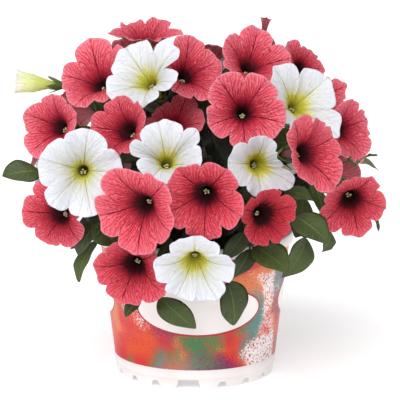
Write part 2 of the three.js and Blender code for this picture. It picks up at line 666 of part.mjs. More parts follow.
// The pot: a tapering wall with a rim band, a raised floor, and a skirt cut into feet in four like quarters
function potGeometry() {
  const bandFoot = POT_HEIGHT - RIM_HEIGHT;
  const profile = [
    [0, SKIRT_HEIGHT],
    [wallRadius(SKIRT_HEIGHT) - SKIRT_WALL, SKIRT_HEIGHT],
    [POT_FOOT_RADIUS - SKIRT_WALL, 0],
    [POT_FOOT_RADIUS, 0],
    [wallRadius(SKIRT_HEIGHT), SKIRT_HEIGHT - LEDGE],
    [wallRadius(SKIRT_HEIGHT) + LEDGE, SKIRT_HEIGHT],
    [wallRadius(SKIRT_HEIGHT) + LEDGE, SKIRT_HEIGHT + 2 * LEDGE],
    [wallRadius(bandFoot), bandFoot],
    [POT_RIM_RADIUS, bandFoot + LEDGE],
    [POT_RIM_RADIUS, POT_HEIGHT],
    [POT_RIM_RADIUS - RIM_OVERHANG - WALL, POT_HEIGHT],
    [innerRadius(SKIRT_HEIGHT + WALL), SKIRT_HEIGHT + WALL],
    [0, SKIRT_HEIGHT + WALL],
  ];
  let pot = solid(lathe(profile));
  const across = (angle) => 2 * POT_FOOT_RADIUS * Math.sin(degToRad(angle / 2));
  for (let quarter = 0; quarter < 4; quarter++) {
    let azimuth = FEET_TURN + 90 * quarter;
    pot = pot.subtract(skirtCut(azimuth, across(GAP_ANGLE), GAP_HEIGHT));
    azimuth += GAP_ANGLE / 2 + FOOT_ANGLE + NOTCH_ANGLE / 2;
    for (let notch = 0; notch < 3; notch++) {
      pot = pot.subtract(skirtCut(azimuth, across(NOTCH_ANGLE), NOTCH_HEIGHT));
      azimuth += FOOT_ANGLE + NOTCH_ANGLE;
    }
  }
  for (let drain = 0; drain < DRAINS; drain++) {
    const hole = new THREE.CylinderGeometry(DRAIN_RADIUS, DRAIN_RADIUS, 4 * WALL, 8).rotateX(Math.PI / 2);
    hole.translate(DRAIN_CIRCLE, 0, SKIRT_HEIGHT).rotateZ((2 * Math.PI * drain) / DRAINS);
    pot = pot.subtract(solid(hole));
  }
  return geometryOf(pot);
}

const part = new THREE.Group();
const MATERIALS = {
  coral: new THREE.MeshStandardMaterial({ color: 0xdb4a55, roughness: 0.6, metalness: 0 }),
  white: new THREE.MeshStandardMaterial({ color: 0xf1f0f2, roughness: 0.6, metalness: 0 }),
  lime: new THREE.MeshStandardMaterial({ color: 0xc9cf7c, roughness: 0.6, metalness: 0 }),
  leaf: new THREE.MeshStandardMaterial({ color: 0x3f4a26, roughness: 0.55, metalness: 0 }),
  soil: new THREE.MeshStandardMaterial({ color: 0x2a211b, roughness: 0.95, metalness: 0 }),
  pot: new THREE.MeshStandardMaterial({ color: 0xece4e2, roughness: 0.35, metalness: 0 }),
};
function addPiece(name, geometry, material) {
  const mesh = new THREE.Mesh(geometry, MATERIALS[material]);
  mesh.name = name;
  part.add(mesh);
}
for (const bloom of blooms) addPiece(bloom.name, bloomGeometry(bloom), bloom.colour);
for (const stem of stems) addPiece(stem.name, stemGeometry(stem), "leaf");
addPiece("soil", soilGeometry(), "soil");
addPiece("pot", potGeometry(), "pot");

export default part;
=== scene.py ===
# A potted petunia: coral-red and white blooms in a mound over a white plastic pot.
import math

import bpy
import numpy as np
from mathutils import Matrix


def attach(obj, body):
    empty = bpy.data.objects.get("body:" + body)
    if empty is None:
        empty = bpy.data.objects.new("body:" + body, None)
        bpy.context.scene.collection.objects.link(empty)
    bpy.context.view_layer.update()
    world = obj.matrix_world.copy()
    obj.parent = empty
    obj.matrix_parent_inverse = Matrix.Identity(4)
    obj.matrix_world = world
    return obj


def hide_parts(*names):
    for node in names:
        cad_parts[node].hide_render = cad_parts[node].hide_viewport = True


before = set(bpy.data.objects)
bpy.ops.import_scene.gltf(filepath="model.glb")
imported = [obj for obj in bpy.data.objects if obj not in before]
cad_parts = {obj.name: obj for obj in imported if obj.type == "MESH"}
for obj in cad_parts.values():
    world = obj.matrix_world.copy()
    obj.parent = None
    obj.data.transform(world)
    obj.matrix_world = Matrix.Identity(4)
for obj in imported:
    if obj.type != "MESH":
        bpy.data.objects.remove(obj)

# Sizes are in millimetres until a mesh is made, and angles in degrees unless a name says otherwise
MM = 0.001
TAU = 2 * math.pi
UP = np.array([0.0, 0.0, 1.0])
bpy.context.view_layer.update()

# Pot: height, outer radii, wall, rim band, and the skirt under the floor that is cut into feet
POT_HEIGHT = 119
POT_RIM_RADIUS = 81
POT_FOOT_RADIUS = 64.5
WALL = 1.6
RIM_HEIGHT = 9
RIM_OVERHANG = 2
SKIRT_HEIGHT = 9
SKIRT_WALL = 3
LEDGE = 0.7
GAP_ANGLE = 16
GAP_HEIGHT = 7.5
NOTCH_ANGLE = 6
NOTCH_HEIGHT = 5
FOOT_ANGLE = 14
FEET_TURN = -4.7
FOOT_BEVEL = 2.4
DRAIN_RADIUS = 5
DRAIN_CIRCLE = 42
DRAINS = 6
DRAIN_SEGMENTS = 40
POT_SEGMENTS = 240

# The steps across a cut's bevel, as shares of it, and the small ring that ends a face on the axis
BEVEL_STEPS = [-0.5, -0.35, -0.18, 0, 0.18, 0.35, 0.5]
AXIS_RADIUS = 0.5

# The pot's print: where it starts above the foot, and the bare oval panels round the wall
PRINT_FOOT = 16
PANEL_AZIMUTHS = [3, 112, -108]
PANEL_HALF_ANGLE = 42
PANEL_HALF_HEIGHT = 19
PANEL_HEIGHT = 65.6
PANEL_LINE = 1.6

# The print's drifts of powder: the seed of each one's place, its scale, how rare and how powdery it is, and
# its colour; and where the powder leaves the plastic bare
PRINT_DRIFTS = [
    (1.7, 24.0, 0.56, 0.3, (232, 128, 62)),
    (8.3, 19.0, 0.55, 0.5, (92, 38, 102)),
    (11.3, 21.0, 0.62, 0.5, (20, 136, 74)),
    (15.1, 24.0, 0.57, 0.6, (44, 142, 136)),
]
PRINT_BARE = (22.3, 61.1, 0)

# Soil: its height at the wall and in the middle, its crumbs' seed, size and limits, its gap to the pot, and
# the height of a ring round its sides
SOIL_EDGE = 105
SOIL_MOUND = 4
SOIL_SEED = 7
SOIL_CRUMB = 0.8
SOIL_BUMPS = (-1.2, 1.6)
SOIL_GAP = 0.4
SOIL_HALFWAY = 60
SOIL_RINGS = 44
SOIL_SEGMENTS = 150

# Blooms: the tube that stands in the calyx, the throat, and the limb's flare
TUBE_LENGTH = 22
TUBE_END_RADIUS = 2
THROAT_RADIUS = 4.8
LOBES = 5
NOTCH_SHARE = 0.13
LIMB_RISE = 19
LIMB_CURVE = 1.8
LOBE_SWAY = 3.2
USUAL_RADIUS = 33
SMALL_RADIUS = 20

# A petal's fine form: thickness, ruffles (waves round the limb and their heights), its outline's waves,
# the midrib's groove, the fold at each notch, the least and greatest cleft that ends the fold and a point's
# reach as shares of the radius, and the widths as shares of a lobe's own
PETAL_THICKNESS = 0.45
RUFFLES = [(6, 0.9), (9, 1.0), (14, 0.7), (23, 0.35)]
RIM_WAVES = [(8, 0.008), (13, 0.007), (21, 0.005)]
RIB_GROOVE = 0.8
RIB_WIDTH = 0.035
NOTCH_FOLD = 1.8
FOLD_WIDTH = 0.06
CLEFT = [0.03, 0.17]
LOBE_POINT = 0.04
POINT_WIDTH = 0.12
LOBE_STEPS = 22
LIMB_RINGS = 24
BACK_RINGS = 12
PIT_RINGS = 8
PIT_DEPTH = 17
PIT_CURVE = 0.8
TUBE_RINGS = 7
TUBE_CURVE = 0.85

# Anthers and the stigma: how many, each one's reach to the side, up the bloom and along it, the stigma's
# place, and how finely such a lump is made
ANTHERS = 5
ANTHER_REACH = np.array([0.95, 0.75, 0.7])
STIGMA_REACH = np.array([0.8, 0.8, 0.5])
STIGMA_PLACE = np.array([0, -0.9, -3.2])
LUMP_ROWS = 6
LUMP_SIDES = 10
LUMP_LATITUDE = math.pi / 2 - 0.2

# Each bloom on the best side: name, colour, throat centre x y z, facing azimuth (0 is -Y, 90 is +X) and
# elevation, radius, the five notches' angles anticlockwise from its right, each lobe's length in percent
FRONT_BLOOMS = [
    ["bloom_01", "coral", -74, -34, 243, -32, 41, 32, [8, 80, 152, 224, 296], [100, 108, 88, 92, 98]],
    ["bloom_02", "coral", -41, 20, 265, 4, 78, 30, [15, 87, 159, 231, 303], [76, 72, 94, 88, 98]],
    ["bloom_03", "coral", -9, -34, 250, 29, 38, 29.5, [42, 114, 186, 258, 330], [98, 98, 100, 106, 88]],
    ["bloom_04", "coral", 42, -16, 253, 30, 44, 30, [28, 98, 172, 244, 316], [104, 92, 108, 92, 106]],
    ["bloom_05", "coral", 85, 28, 246, 40, 32, 21, [12, 84, 156, 228, 300], [70, 112, 90, 90, 80]],
    ["bloom_06", "coral", 38, -56, 225, 6, 20, 33, [20, 89, 169, 236, 300], [94, 101, 95, 94, 100]],
    ["bloom_07", "coral", -50, -88, 216, -36, 27, 29, [6, 78, 152, 222, 294], [84, 88, 102, 92, 86]],
    ["bloom_08", "coral", -17, -44, 210, 0, 46, 26, [30, 98, 172, 244, 316], [101, 60, 98, 90, 94]],
    ["bloom_09", "coral", -106, -43, 211, -36, 18, 28.5, [58, 130, 202, 274, 346], [86, 92, 104, 95, 88]],
    ["bloom_10", "coral", -105, -66, 146, -28, 4, 28, [71, 143, 213, 287, 359], [108, 103, 84, 106, 90]],
    ["bloom_11", "coral", -37, -122, 168, -25, -12, 37, [15, 75, 155, 231, 299], [102, 102, 97, 100, 86]],
    ["bloom_12", "coral", 9, -126, 177, -7, -8, 34.5, [17, 94, 166, 238, 302], [95, 91, 93, 98, 92]],
    ["bloom_13", "coral", 82, -101, 202, 42, 10, 32, [56, 84, 170, 262, 345], [82, 106, 72, 110, 84]],
    ["bloom_14", "coral", 115, -11, 204, 44, 6, 27, [50, 122, 194, 266, 338], [90, 100, 82, 114, 82]],
    ["bloom_15", "coral", 99, 11, 224, 40, 28, 22, [46, 118, 190, 262, 334], [70, 88, 86, 68, 110]],
    ["bloom_16", "coral", 124, -54, 158, 10, -18, 30, [34, 100, 174, 246, 318], [96, 87, 98, 90, 85]],
    ["bloom_17", "coral", 50, -112, 157, 28, -2, 25, [50, 122, 194, 280, 340], [90, 92, 94, 100, 106]],
    ["bloom_18", "coral", -46, -100, 115, -18, -12, 32, [0, 72, 144, 216, 289], [88, 80, 93, 93, 102]],
    ["bloom_19", "white", -35, -62, 250, -28, 38, 33, [18, 83, 187, 257, 325], [103, 87, 96, 93, 94]],
    ["bloom_20", "white", 79, -34, 226, 30, 27, 31, [-21, 83, 160, 225, 280], [96, 107, 93, 92, 122]],
    ["bloom_21", "white", -22, -114, 197, 3, 36, 30, [20, 57, 148, 184, 290], [100, 98, 98, 84, 90]],
    ["bloom_22", "white", -88, -94, 187, -5, 8, 36, [41, 116, 206, 252, 322], [95, 91, 95, 98, 94]],
    ["bloom_23", "white", 48, -79, 189, 21, 13, 30, [37, 125, 227, 300, 345], [72, 96, 89, 100, 42]],
    ["bloom_24", "white", 0, -116, 123, -1, -24, 34, [40, 138, 212, 272, 332], [97, 92, 90, 94, 91]],
]

# Each bloom on the far side: the same, with evenly spaced notches from one angle and drawn lobe lengths
BACK_BLOOMS = [
    ["bloom_25", "coral", 108, 48, 156, 115, 2, 31, 10],
    ["bloom_26", "white", 66, 98, 150, 148, -4, 32, 30],
    ["bloom_27", "coral", 8, 118, 156, 178, -2, 33, 0],
    ["bloom_28", "coral", -56, 106, 148, 208, -6, 31, 20],
    ["bloom_29", "white", -104, 62, 154, 242, 0, 31, 5],
    ["bloom_30", "coral", 94, 66, 206, 130, 22, 30, 40],
    ["bloom_31", "white", 38, 94, 206, 162, 26, 31, 15],
    ["bloom_32", "coral", -24, 98, 202, 192, 22, 31, 50],
    ["bloom_33", "coral", -80, 76, 204, 224, 24, 30, 25],
    ["bloom_34", "coral", -112, 16, 190, 265, 12, 29, 35],
    ["bloom_35", "coral", 56, 58, 240, 145, 48, 29, 60],
    ["bloom_36", "white", 2, 68, 231, 182, 48, 30, 5],
    ["bloom_37", "coral", -54, 58, 238, 212, 44, 29, 45],
    ["bloom_38", "coral", -84, 18, 232, 262, 44, 25, 20],
    ["bloom_39", "coral", 10, 22, 250, 175, 74, 25, 0],
]

# Half-opened buds, small and narrow: the same, how far the furled limb reaches, and the throat's radius
BUDS = [
    ["bud_yellow", "lime", -130, -30, 245, -92, 4, 10, 0, 14, 7],
    ["bud_coral", "coral", 56, 8, 280, 40, 80, 2.6, 0, 12, 1.5],
]

# How much deeper a coral bloom is than most, up to 1, partly painted shade that darkens the low and inner
# blooms; how much darker and narrower a white bloom's throat is, or below 0 how much paler and wider
DEEP_AND_SHADED_BLOOMS = {
    "bloom_07": 0.4, "bloom_08": -0.5, "bloom_10": 0.4, "bloom_11": 0.3, "bloom_12": 0.5,
    "bloom_13": 0.3, "bloom_16": 0.5, "bloom_17": 1.0, "bloom_18": 0.6, "bloom_19": -0.2,
    "bloom_20": -0.6, "bloom_21": 0.2, "bloom_22": 0.3, "bloom_23": -0.9, "bloom_24": -0.6,
}

# Blooms whose clefts or points are known: the depth at each notch, and how far the lobes' points reach
CLEFT_BLOOMS = {
    "bloom_17": [0.16, 0.12, 0.2, 0.14, 0.18],
    "bloom_19": [0.34, 0.26, 0.05, 0.2, 0.16],
    "bloom_20": [0.16, 0.2, 0.08, 0.05, 0.05],
    "bloom_24": [0.1, 0.12, 0.08, 0.1, 0.12],
}
POINTED_BLOOMS = {
    "bloom_02": 0.12, "bloom_15": 0.16, "bloom_19": 0.02, "bloom_20": 0.12, "bud_yellow": 0.12,
    "bud_coral": 0.9,
}

# Where a petal's edge hangs back, clear of the bloom before it: the angle, the half width and how far
HUNG_EDGES = {"bloom_19": (272, 14, 3.2), "bloom_22": (293, 8, 2.2)}

# Each leafy stem: name, root x y, and the blooms it carries, the first at its own end
STEMS = [
    ["stem_01", -16, -32, ["bloom_18", "bloom_11"]],
    ["stem_02", 4, -40, ["bloom_24", "bloom_12"]],
    ["stem_03", -38, -28, ["bloom_10", "bloom_22"]],
    ["stem_04", -46, -6, ["bloom_09", "bloom_01", "bud_yellow"]],
    ["stem_05", -26, -14, ["bloom_07", "bloom_21"]],
    ["stem_06", -8, -16, ["bloom_19", "bloom_08"]],
    ["stem_07", -18, 8, ["bloom_02", "bloom_03", "bloom_39"]],
    ["stem_08", 14, -4, ["bloom_04", "bloom_06", "bud_coral"]],
    ["stem_09", 22, -30, ["bloom_17", "bloom_23"]],
    ["stem_10", 30, -14, ["bloom_20", "bloom_13"]],
    ["stem_11", 46, -26, ["bloom_16"]],
    ["stem_12", 46, -4, ["bloom_05", "bloom_15", "bloom_14"]],
    ["stem_13", 46, 20, ["bloom_25", "bloom_30"]],
    ["stem_14", 26, 38, ["bloom_26", "bloom_31", "bloom_35"]],
    ["stem_15", 4, 42, ["bloom_27", "bloom_32", "bloom_36"]],
    ["stem_16", -26, 36, ["bloom_28", "bloom_33", "bloom_37"]],
    ["stem_17", -46, 16, ["bloom_29", "bloom_34", "bloom_38"]],
]
STEM_RADIUS = 2.1
PEDICEL_RADIUS = 1.2
STEM_SIDES = 9
STEM_STEPS = 22
STEM_BURIED = 13.7
BRANCH_SHARES = [0.52, 0.66]

# Calyx: where it starts under the throat, its five sepals' tips as radius and height, and the height of the
# valleys between them
CALYX_START = 29
SEPAL_TIP = [8.2, -11]
SEPAL_VALLEY = -20
SEPAL_THICKNESS = 0.5
SEPAL_STEPS = 8
CALYX_RINGS = 9

# Leaves: how far the halves fold up and the midrib arches, the petiole's radii and sides, the blade's
# thickness, the waves along its edge, and its raised veins
LEAF_FOLD = 0.2
LEAF_ARCH = 0.13
PETIOLE_RADII = [0.9, 0.9, 0.9, 0.675, 0.27]
PETIOLE_SIDES = 7
LEAF_THICKNESS = 0.5
LEAF_WAVE = 0.5
VEIN_RIDGE = 0.35
VEIN_PAIRS = 6
LEAF_ROWS = 20
LEAF_COLUMNS = 8

# Leaves listed one by one: stem, blade base x y z, tip x y z, half width, and the azimuth that the leaf
# faces
SET_LEAVES = [
    ["stem_03", -70, -81, 148, -93, -76, 113, 11, -41],
    ["stem_03", -78, -66, 125, -93, -66, 89, 9, -50],
    ["stem_03", -81, -84, 141, -60, -84, 124, 10, -10],
    ["stem_09", 40, -86, 136, 22, -92, 113, 8, 15],
    ["stem_09", 44, -86, 122, 29, -94, 99, 9, 22],
    ["stem_09", 46, -86, 123, 74, -94, 104, 14, 28],
    ["stem_11", 89, -61, 125, 69, -78, 96, 13, 56],
    ["stem_11", 78, -77, 147, 106, -87, 126, 13, 15],
    ["stem_11", 109, -56, 129, 102, -61, 113, 7, 63],
    ["stem_11", 88, -58, 158, 80, -66, 126, 13, 10],
    ["stem_11", 136, -44, 148, 148, -50, 127, 4.5, 60],
    ["stem_11", 96, -46, 166, 104, -50, 138, 9, 20],
    ["stem_01", -28, -90, 83, 1, -93, 58, 11, -17],
    ["stem_01", -44, -84, 80, -55, -88, 66, 6, -28],
    ["stem_01", -21, -90, 132, -28, -93, 108, 7, -12],
    ["stem_02", 26, -92, 97, 31, -91, 60, 13, 16],
    ["stem_04", -124, -46, 176, -155, -46, 172, 11, -15],
    ["stem_12", 130, -26, 177, 148, -26, 185, 6, 50],
    ["stem_10", 72, -71, 165, 93, -71, 158, 8, 45],
    ["stem_15", 36, 112, 118, 48, 144, 108, 11, 162],
    ["stem_15", 2, 112, 114, -6, 156, 102, 11, 179],
    ["stem_13", 126, 14, 172, 152, 22, 162, 9, 96],
]

# The same, deep inside the plant, where they close a gap between the blooms
INNER_LEAVES = [
    ["stem_15", -1, 95, 183, 5, 105, 205, 11, 184],
    ["stem_06", 1, -33, 221, 20, -45, 233, 9, -18],
]

# Two rounds of leaves, the solids' own and then inner ones that only this script has: those listed,
# where along a stem and its other stalks one is tried, how far apart they stay, and how far out they reach
LEAF_ROUNDS = [
    (SET_LEAVES, [0.4, 0.52, 0.64, 0.76, 0.88], [0.35, 0.7], 8.5, 1),
    (INNER_LEAVES, [0.46, 0.58, 0.7, 0.82], [0.2, 0.5, 0.85], 5, 0.82),
]

# Leaves placed by rule: tries a leaf, the least tilt and what is drawn over it, the length and how it
# varies, proportion, the clearances that its points keep, the shell that holds them, and the points
LEAF_TRIES = 24
LEAF_TILT = (10, 50)
LEAF_LENGTH = 42
LEAF_VARIES = (0.85, 0.3)
LEAF_LEAST_SHARE = 0.6
LEAF_PROPORTION = 0.3
PETIOLE_LENGTH = 7
BLOOM_CLEAR = 3.5
CALYX_CLEAR = 10.5
STEM_CLEAR = 4
STEM_PACE = 4
SHELL_CENTRE = np.array([0.0, 0.0, 130.0])
SHELL_REACH = np.array([132.0, 132.0, 145.0])
SAMPLE_ROWS = [(0.12, 0.5), (0.3, 0.94), (0.47, 0.95), (0.64, 0.84), (0.82, 0.45), (1, 0)]
SAMPLE_ACROSS = [-1, -0.5, 0, 0.5, 1]

# The petals' colours from 0 to 255, each after its share of the way from the throat out to the rim
CORAL_RAMP = [
    (0.0, (26, 8, 12)),
    (0.03, (54, 10, 22)),
    (0.07, (128, 18, 42)),
    (0.14, (190, 32, 58)),
    (0.34, (236, 58, 84)),
    (0.65, (252, 94, 114)),
    (1.0, (255, 124, 142)),
]
WHITE_RAMP = [
    (0.0, (210, 202, 44)),
    (0.05, (222, 214, 70)),
    (0.1, (230, 224, 110)),
    (0.17, (234, 232, 180)),
    (0.26, (226, 227, 220)),
    (0.75, (224, 226, 233)),
    (1.0, (232, 233, 240)),
]
LIME_RAMP = [
    (0.0, (196, 206, 84)),
    (0.35, (216, 224, 120)),
    (0.62, (236, 240, 176)),
    (0.85, (252, 252, 240)),
]

# Camera, on the photograph's line of sight: elevation, distance and target in metres, millimetres a pixel
CAMERA_ELEVATION = 12.5
CAMERA_DISTANCE = 2.5
CAMERA_TARGET = (0.0041, 0, 0.1424)
PIXEL_SIZE = 0.82
IMAGE_WIDTH = 400
SENSOR_WIDTH = 36

# Light and floor
SKY_STRENGTH = 0.55
SUN_STRENGTH = 2.2
SUN_AZIMUTH = -18
SUN_ELEVATION = 46
SUN_SPREAD = 50
FLOOR_RADIUS = 9
FLOOR_HEIGHT = -0.05
FLOOR_SIDES = 64
FLOOR_GLOW = 0.3


def draw(i, k):
    """A repeatable draw between 0 and 1 from two whole numbers."""
    s = math.sin(i * 12.9898 + k * 78.233) * 43758.5453
    return s - math.floor(s)


def unit(v):
    return v / np.linalg.norm(v)


def facing(azimuth, elevation):
    """The unit vector of an azimuth and elevation."""
    a = math.radians(azimuth)
    e = math.radians(elevation)
    return np.array([math.sin(a) * math.cos(e), -math.cos(a) * math.cos(e), math.sin(e)])


class Bloom:
    """A bloom or bud. Its own +Z is the way it faces, from the centre of its throat."""

    def __init__(self, index, name, colour, x, y, z, azimuth, elevation, radius, notches, lengths):
        self.index = index
        self.name = name
        self.colour = colour
        self.throat = np.array([x, y, z], float)
        self.axis = facing(azimuth, elevation)
        side = unit(np.cross(UP, self.axis))
        self.basis = np.array([side, np.cross(self.axis, side), self.axis])
        self.radius = radius
        self.scale = min(1, radius / SMALL_RADIUS)
        self.rise = LIMB_RISE * radius / USUAL_RADIUS
        self.throat_radius = THROAT_RADIUS
        self.starts = np.array(notches, float)
        self.ends = np.append(self.starts[1:], self.starts[0] + 360)
        self.lengths = np.array(lengths, float)

    def place(self, local):
        """Points of the bloom's own frame in the row frame."""
        return local @ self.basis + self.throat

    def phase(self, angle):
        """The lobe at an angle, and how far across it: 0 and 1 at its notches, 0.5 on the midrib."""
        first = self.starts[0]
        turned = (np.degrees(angle) - first) % 360
        lobe = np.searchsorted(self.starts - first, turned + 1e-6, side="right") - 1
        across = (turned - (self.starts[lobe] - first)) / (self.ends[lobe] - self.starts[lobe])
        return lobe, across

    def rim(self, angle):
        """The limb's outline radius at an angle."""
        lobe, phase = self.phase(angle)
        off = np.abs(2 * phase - 1)
        own = self.lengths[lobe]
        beside = self.lengths[(lobe + np.where(phase > 0.5, 1, LOBES - 1)) % LOBES]
        length = (own + (beside - own) / 2 * off * off) / 100
        return self.radius * length * (1 - NOTCH_SHARE * off**4)

    def height(self, angle, share):
        """The limb's height over the throat, at an angle and a share of the way out to the rim."""
        lobe, phase = self.phase(angle)
        draws = np.array([2 * draw(self.index, 10 + i) - 1 for i in range(LOBES)])
        sway = LOBE_SWAY * self.radius / USUAL_RADIUS * draws[lobe]
        bowl = (1 - np.exp(-LIMB_CURVE * share)) / (1 - math.exp(-LIMB_CURVE))
        return self.rise * bowl + sway * np.sin(math.pi * phase) ** 2 * share * share


def even_bloom(index, name, colour, x, y, z, azimuth, elevation, radius, first):
    """A bloom with evenly spaced notches and drawn lobe lengths."""
    notches = [first + 360 / LOBES * i for i in range(LOBES)]
    lengths = [100 + 12 * (draw(index, lobe) - 0.5) for lobe in range(LOBES)]
    return Bloom(index, name, colour, x, y, z, azimuth, elevation, radius, notches, lengths)


def all_blooms():
    blooms = [Bloom(i, *row) for i, row in enumerate(FRONT_BLOOMS)]
    for row in BACK_BLOOMS:
        blooms.append(even_bloom(len(blooms), *row))
    for row in BUDS:
        bud = even_bloom(len(blooms), *row[:-2])
        bud.rise, bud.throat_radius = row[-2:]
        blooms.append(bud)
    return blooms


def bezier(controls, t):
    """Points of a Bezier curve at parameters from 0 to 1."""
    t = np.atleast_1d(np.asarray(t, float))[:, None]
    n = len(controls) - 1
    return sum(math.comb(n, i) * (1 - t) ** (n - i) * t**i * c for i, c in enumerate(controls))


def bend(start, start_way, end, end_way, pull=0.4):
    """The control points of a curve from one point and heading to another."""
    reach = pull * np.linalg.norm(end - start)
    return np.array([start, start + start_way * reach, end - end_way * reach, end])


def wall_radius(z):
    return POT_FOOT_RADIUS + (POT_RIM_RADIUS - RIM_OVERHANG - POT_FOOT_RADIUS) * (z / POT_HEIGHT)


def inner_radius(z):
    return wall_radius(z) - WALL


def soil_top(x, y):
    share = np.hypot(x, y) / inner_radius(SOIL_EDGE)
    return SOIL_EDGE + SOIL_MOUND * (1 - share * share)


class Stem:
    """A stem's main curve, and the stalks that leave it for the other blooms."""

    def __init__(self, name, x, y, borne):
        root = np.array([x, y, soil_top(x, y)])
        ends = [bloom.place(np.array([0, 0, -CALYX_START])) for bloom in borne]
        self.name = name
        self.borne = borne
        self.foot = root - STEM_BURIED * UP
        self.main = bend(root, UP, ends[0], borne[0].axis, 0.44)
        self.stalks = []
        for share, bloom, end in zip(BRANCH_SHARES, borne[1:], ends[1:]):
            start, ahead = bezier(self.main, [share, share + 1e-4])
            self.stalks.append(bend(start, unit(ahead - start), end, bloom.axis))

    def curves(self):
        return [self.main, *self.stalks]


class Leaf:
    """A leaf: its petiole's start, its midrib as an arched curve, and its directions."""

    def __init__(self, start, base, tip, half_width, face_hint):
        along = tip - base
        self.start = start
        self.side = unit(np.cross(tip - start, face_hint))
        self.face = unit(np.cross(self.side, along))
        middle = (base + tip) / 2 + self.face * 2 * LEAF_ARCH * np.linalg.norm(along)
        self.rib = np.array([base, middle, tip])
        self.half_width = half_width

    def point(self, share, width, across):
        reach = self.half_width * width * across
        return bezier(self.rib, share)[0] + self.side * reach + self.face * LEAF_FOLD * abs(reach)

    def samples(self):
        """The points that the leaf is tested at."""
        petiole = [self.start + (self.rib[0] - self.start) * share for share in (0.4, 0.7, 1)]
        blade = [
            self.point(share, width, across)
            for share, width in SAMPLE_ROWS
            for across in (SAMPLE_ACROSS if width else [0])
        ]
        return np.array(petiole + blade)


def clear_of_bloom(bloom, points):
    """Which points are behind a bloom's limb, and away from its tube and calyx."""
    p = (points - bloom.throat) @ bloom.basis.T
    r = np.hypot(p[:, 0], p[:, 1])
    angle = np.arctan2(p[:, 1], p[:, 0])
    rim = bloom.rim(angle)
    share = np.clip((r - THROAT_RADIUS) / np.maximum(rim - THROAT_RADIUS, 0.01), 0, 1)
    before = p[:, 2] > 2 * bloom.radius
    behind = p[:, 2] < bloom.height(angle, share) - BLOOM_CLEAR
    below = p[:, 2] < -CALYX_START - BLOOM_CLEAR
    return np.where(r < CALYX_CLEAR, below | before, (r > rim + BLOOM_CLEAR) | behind | before)


def clear_of_pot(points):
    r = np.hypot(points[:, 0], points[:, 1])
    z = points[:, 2]
    within = (r < inner_radius(POT_HEIGHT) - STEM_CLEAR) & (z > SOIL_EDGE + 2 * STEM_CLEAR)
    return (z > POT_HEIGHT + STEM_CLEAR) | (r > POT_RIM_RADIUS + STEM_CLEAR) | within


def far_from(points, others, distance):
    apart = points[:, None, :] - others[None, :, :]
    return bool((np.einsum("ijk,ijk->ij", apart, apart) > distance * distance).all())


def leaf_is_clear(samples, placed, stem_points, blooms, apart, reach):
    away = (samples - SHELL_CENTRE) / SHELL_REACH
    return (
        bool((np.linalg.norm(away, axis=1) < reach).all())
        and bool(clear_of_pot(samples).all())
        and far_from(samples, placed, apart)
        and far_from(samples[2:], stem_points, STEM_CLEAR)
        and all(clear_of_bloom(bloom, samples).all() for bloom in blooms)
    )


def try_leaf(curve, share, slot, placed, *others):
    """The first of a leaf's tries that is clear of everything: each try turns, tilts and shrinks it."""
    start = bezier(curve, share)[0]
    out = unit((start - SHELL_CENTRE) / SHELL_REACH)
    level = unit(np.cross(UP, out))
    rise = np.cross(out, level)
    for k in range(LEAF_TRIES):
        turn = TAU * draw(slot, k)
        tilt = math.radians(LEAF_TILT[0] + LEAF_TILT[1] * draw(slot, 40 + k))
        shrink = 1 - (1 - LEAF_LEAST_SHARE) * k / LEAF_TRIES
        length = LEAF_LENGTH * shrink * (LEAF_VARIES[0] + LEAF_VARIES[1] * draw(slot, 80))
        way = (level * math.cos(turn) + rise * math.sin(turn)) * math.cos(tilt) + out * math.sin(tilt)
        base = start + way * PETIOLE_LENGTH
        leaf = Leaf(start, base, base + way * length, LEAF_PROPORTION * length, out)
        if leaf_is_clear(leaf.samples(), placed, *others):
            return leaf
    return None


def curve_length(curve):
    return np.linalg.norm(np.diff(bezier(curve, np.linspace(0, 1, 201)), axis=0), axis=1).sum()


def nearest_point(curves, target):
    points = np.concatenate([bezier(curve, np.linspace(0, 1, 41)) for curve in curves])
    return points[np.argmin(np.linalg.norm(points - target, axis=1))]


def set_leaf(stem, row):
    """A listed leaf, on the nearest point of its stem."""
    base = np.array(row[1:4], float)
    out = facing(row[8], 0) + 0.5 * UP
    return Leaf(nearest_point(stem.curves(), base), base, np.array(row[4:7], float), row[7], out)


def all_leaves(stems, blooms):
    """The leaves of each stem: in each round those listed, then one for each slot that has room."""
    by_name = {stem.name: stem for stem in stems}
    leaves = {stem.name: [] for stem in stems}
    placed = []

    def keep(stem, leaf):
        leaf.seed = len(placed)
        leaves[stem.name].append(leaf)
        placed.append(leaf.samples())

    curves = [curve for stem in stems for curve in stem.curves()]
    steps = [np.linspace(0, 1, math.ceil(curve_length(curve) / STEM_PACE) + 1) for curve in curves]
    stem_points = np.concatenate([bezier(curve, t) for curve, t in zip(curves, steps)])
    slot = 0
    for set_rows, shares, stalk_shares, apart, reach in LEAF_ROUNDS:
        for row in set_rows:
            keep(by_name[row[0]], set_leaf(by_name[row[0]], row))
        for stem in stems:
            slots = [(stem.main, share) for share in shares]
            slots += [(stalk, share) for stalk in stem.stalks for share in stalk_shares]
            for curve, share in slots:
                others = (np.concatenate(placed), stem_points, blooms, apart, reach)
                leaf = try_leaf(curve, share, slot, *others)
                slot += 1
                if leaf:
                    keep(stem, leaf)
    return leaves


def grid(*parts):
    """Arrays stretched to one shape and joined as the parts of vectors."""
    return np.stack(np.broadcast_arrays(*parts), axis=-1)


def circle(count):
    """Evenly spaced angles round a circle."""
    return TAU * np.arange(count) / count


def ring_points(radius, angles, height):
    """Points round the Z axis."""
    return grid(radius * np.cos(angles), radius * np.sin(angles), height)


def bell(value, width):
    """1 where a value is 0, and less and less away from it."""
    return np.exp(-((value / width) ** 2))


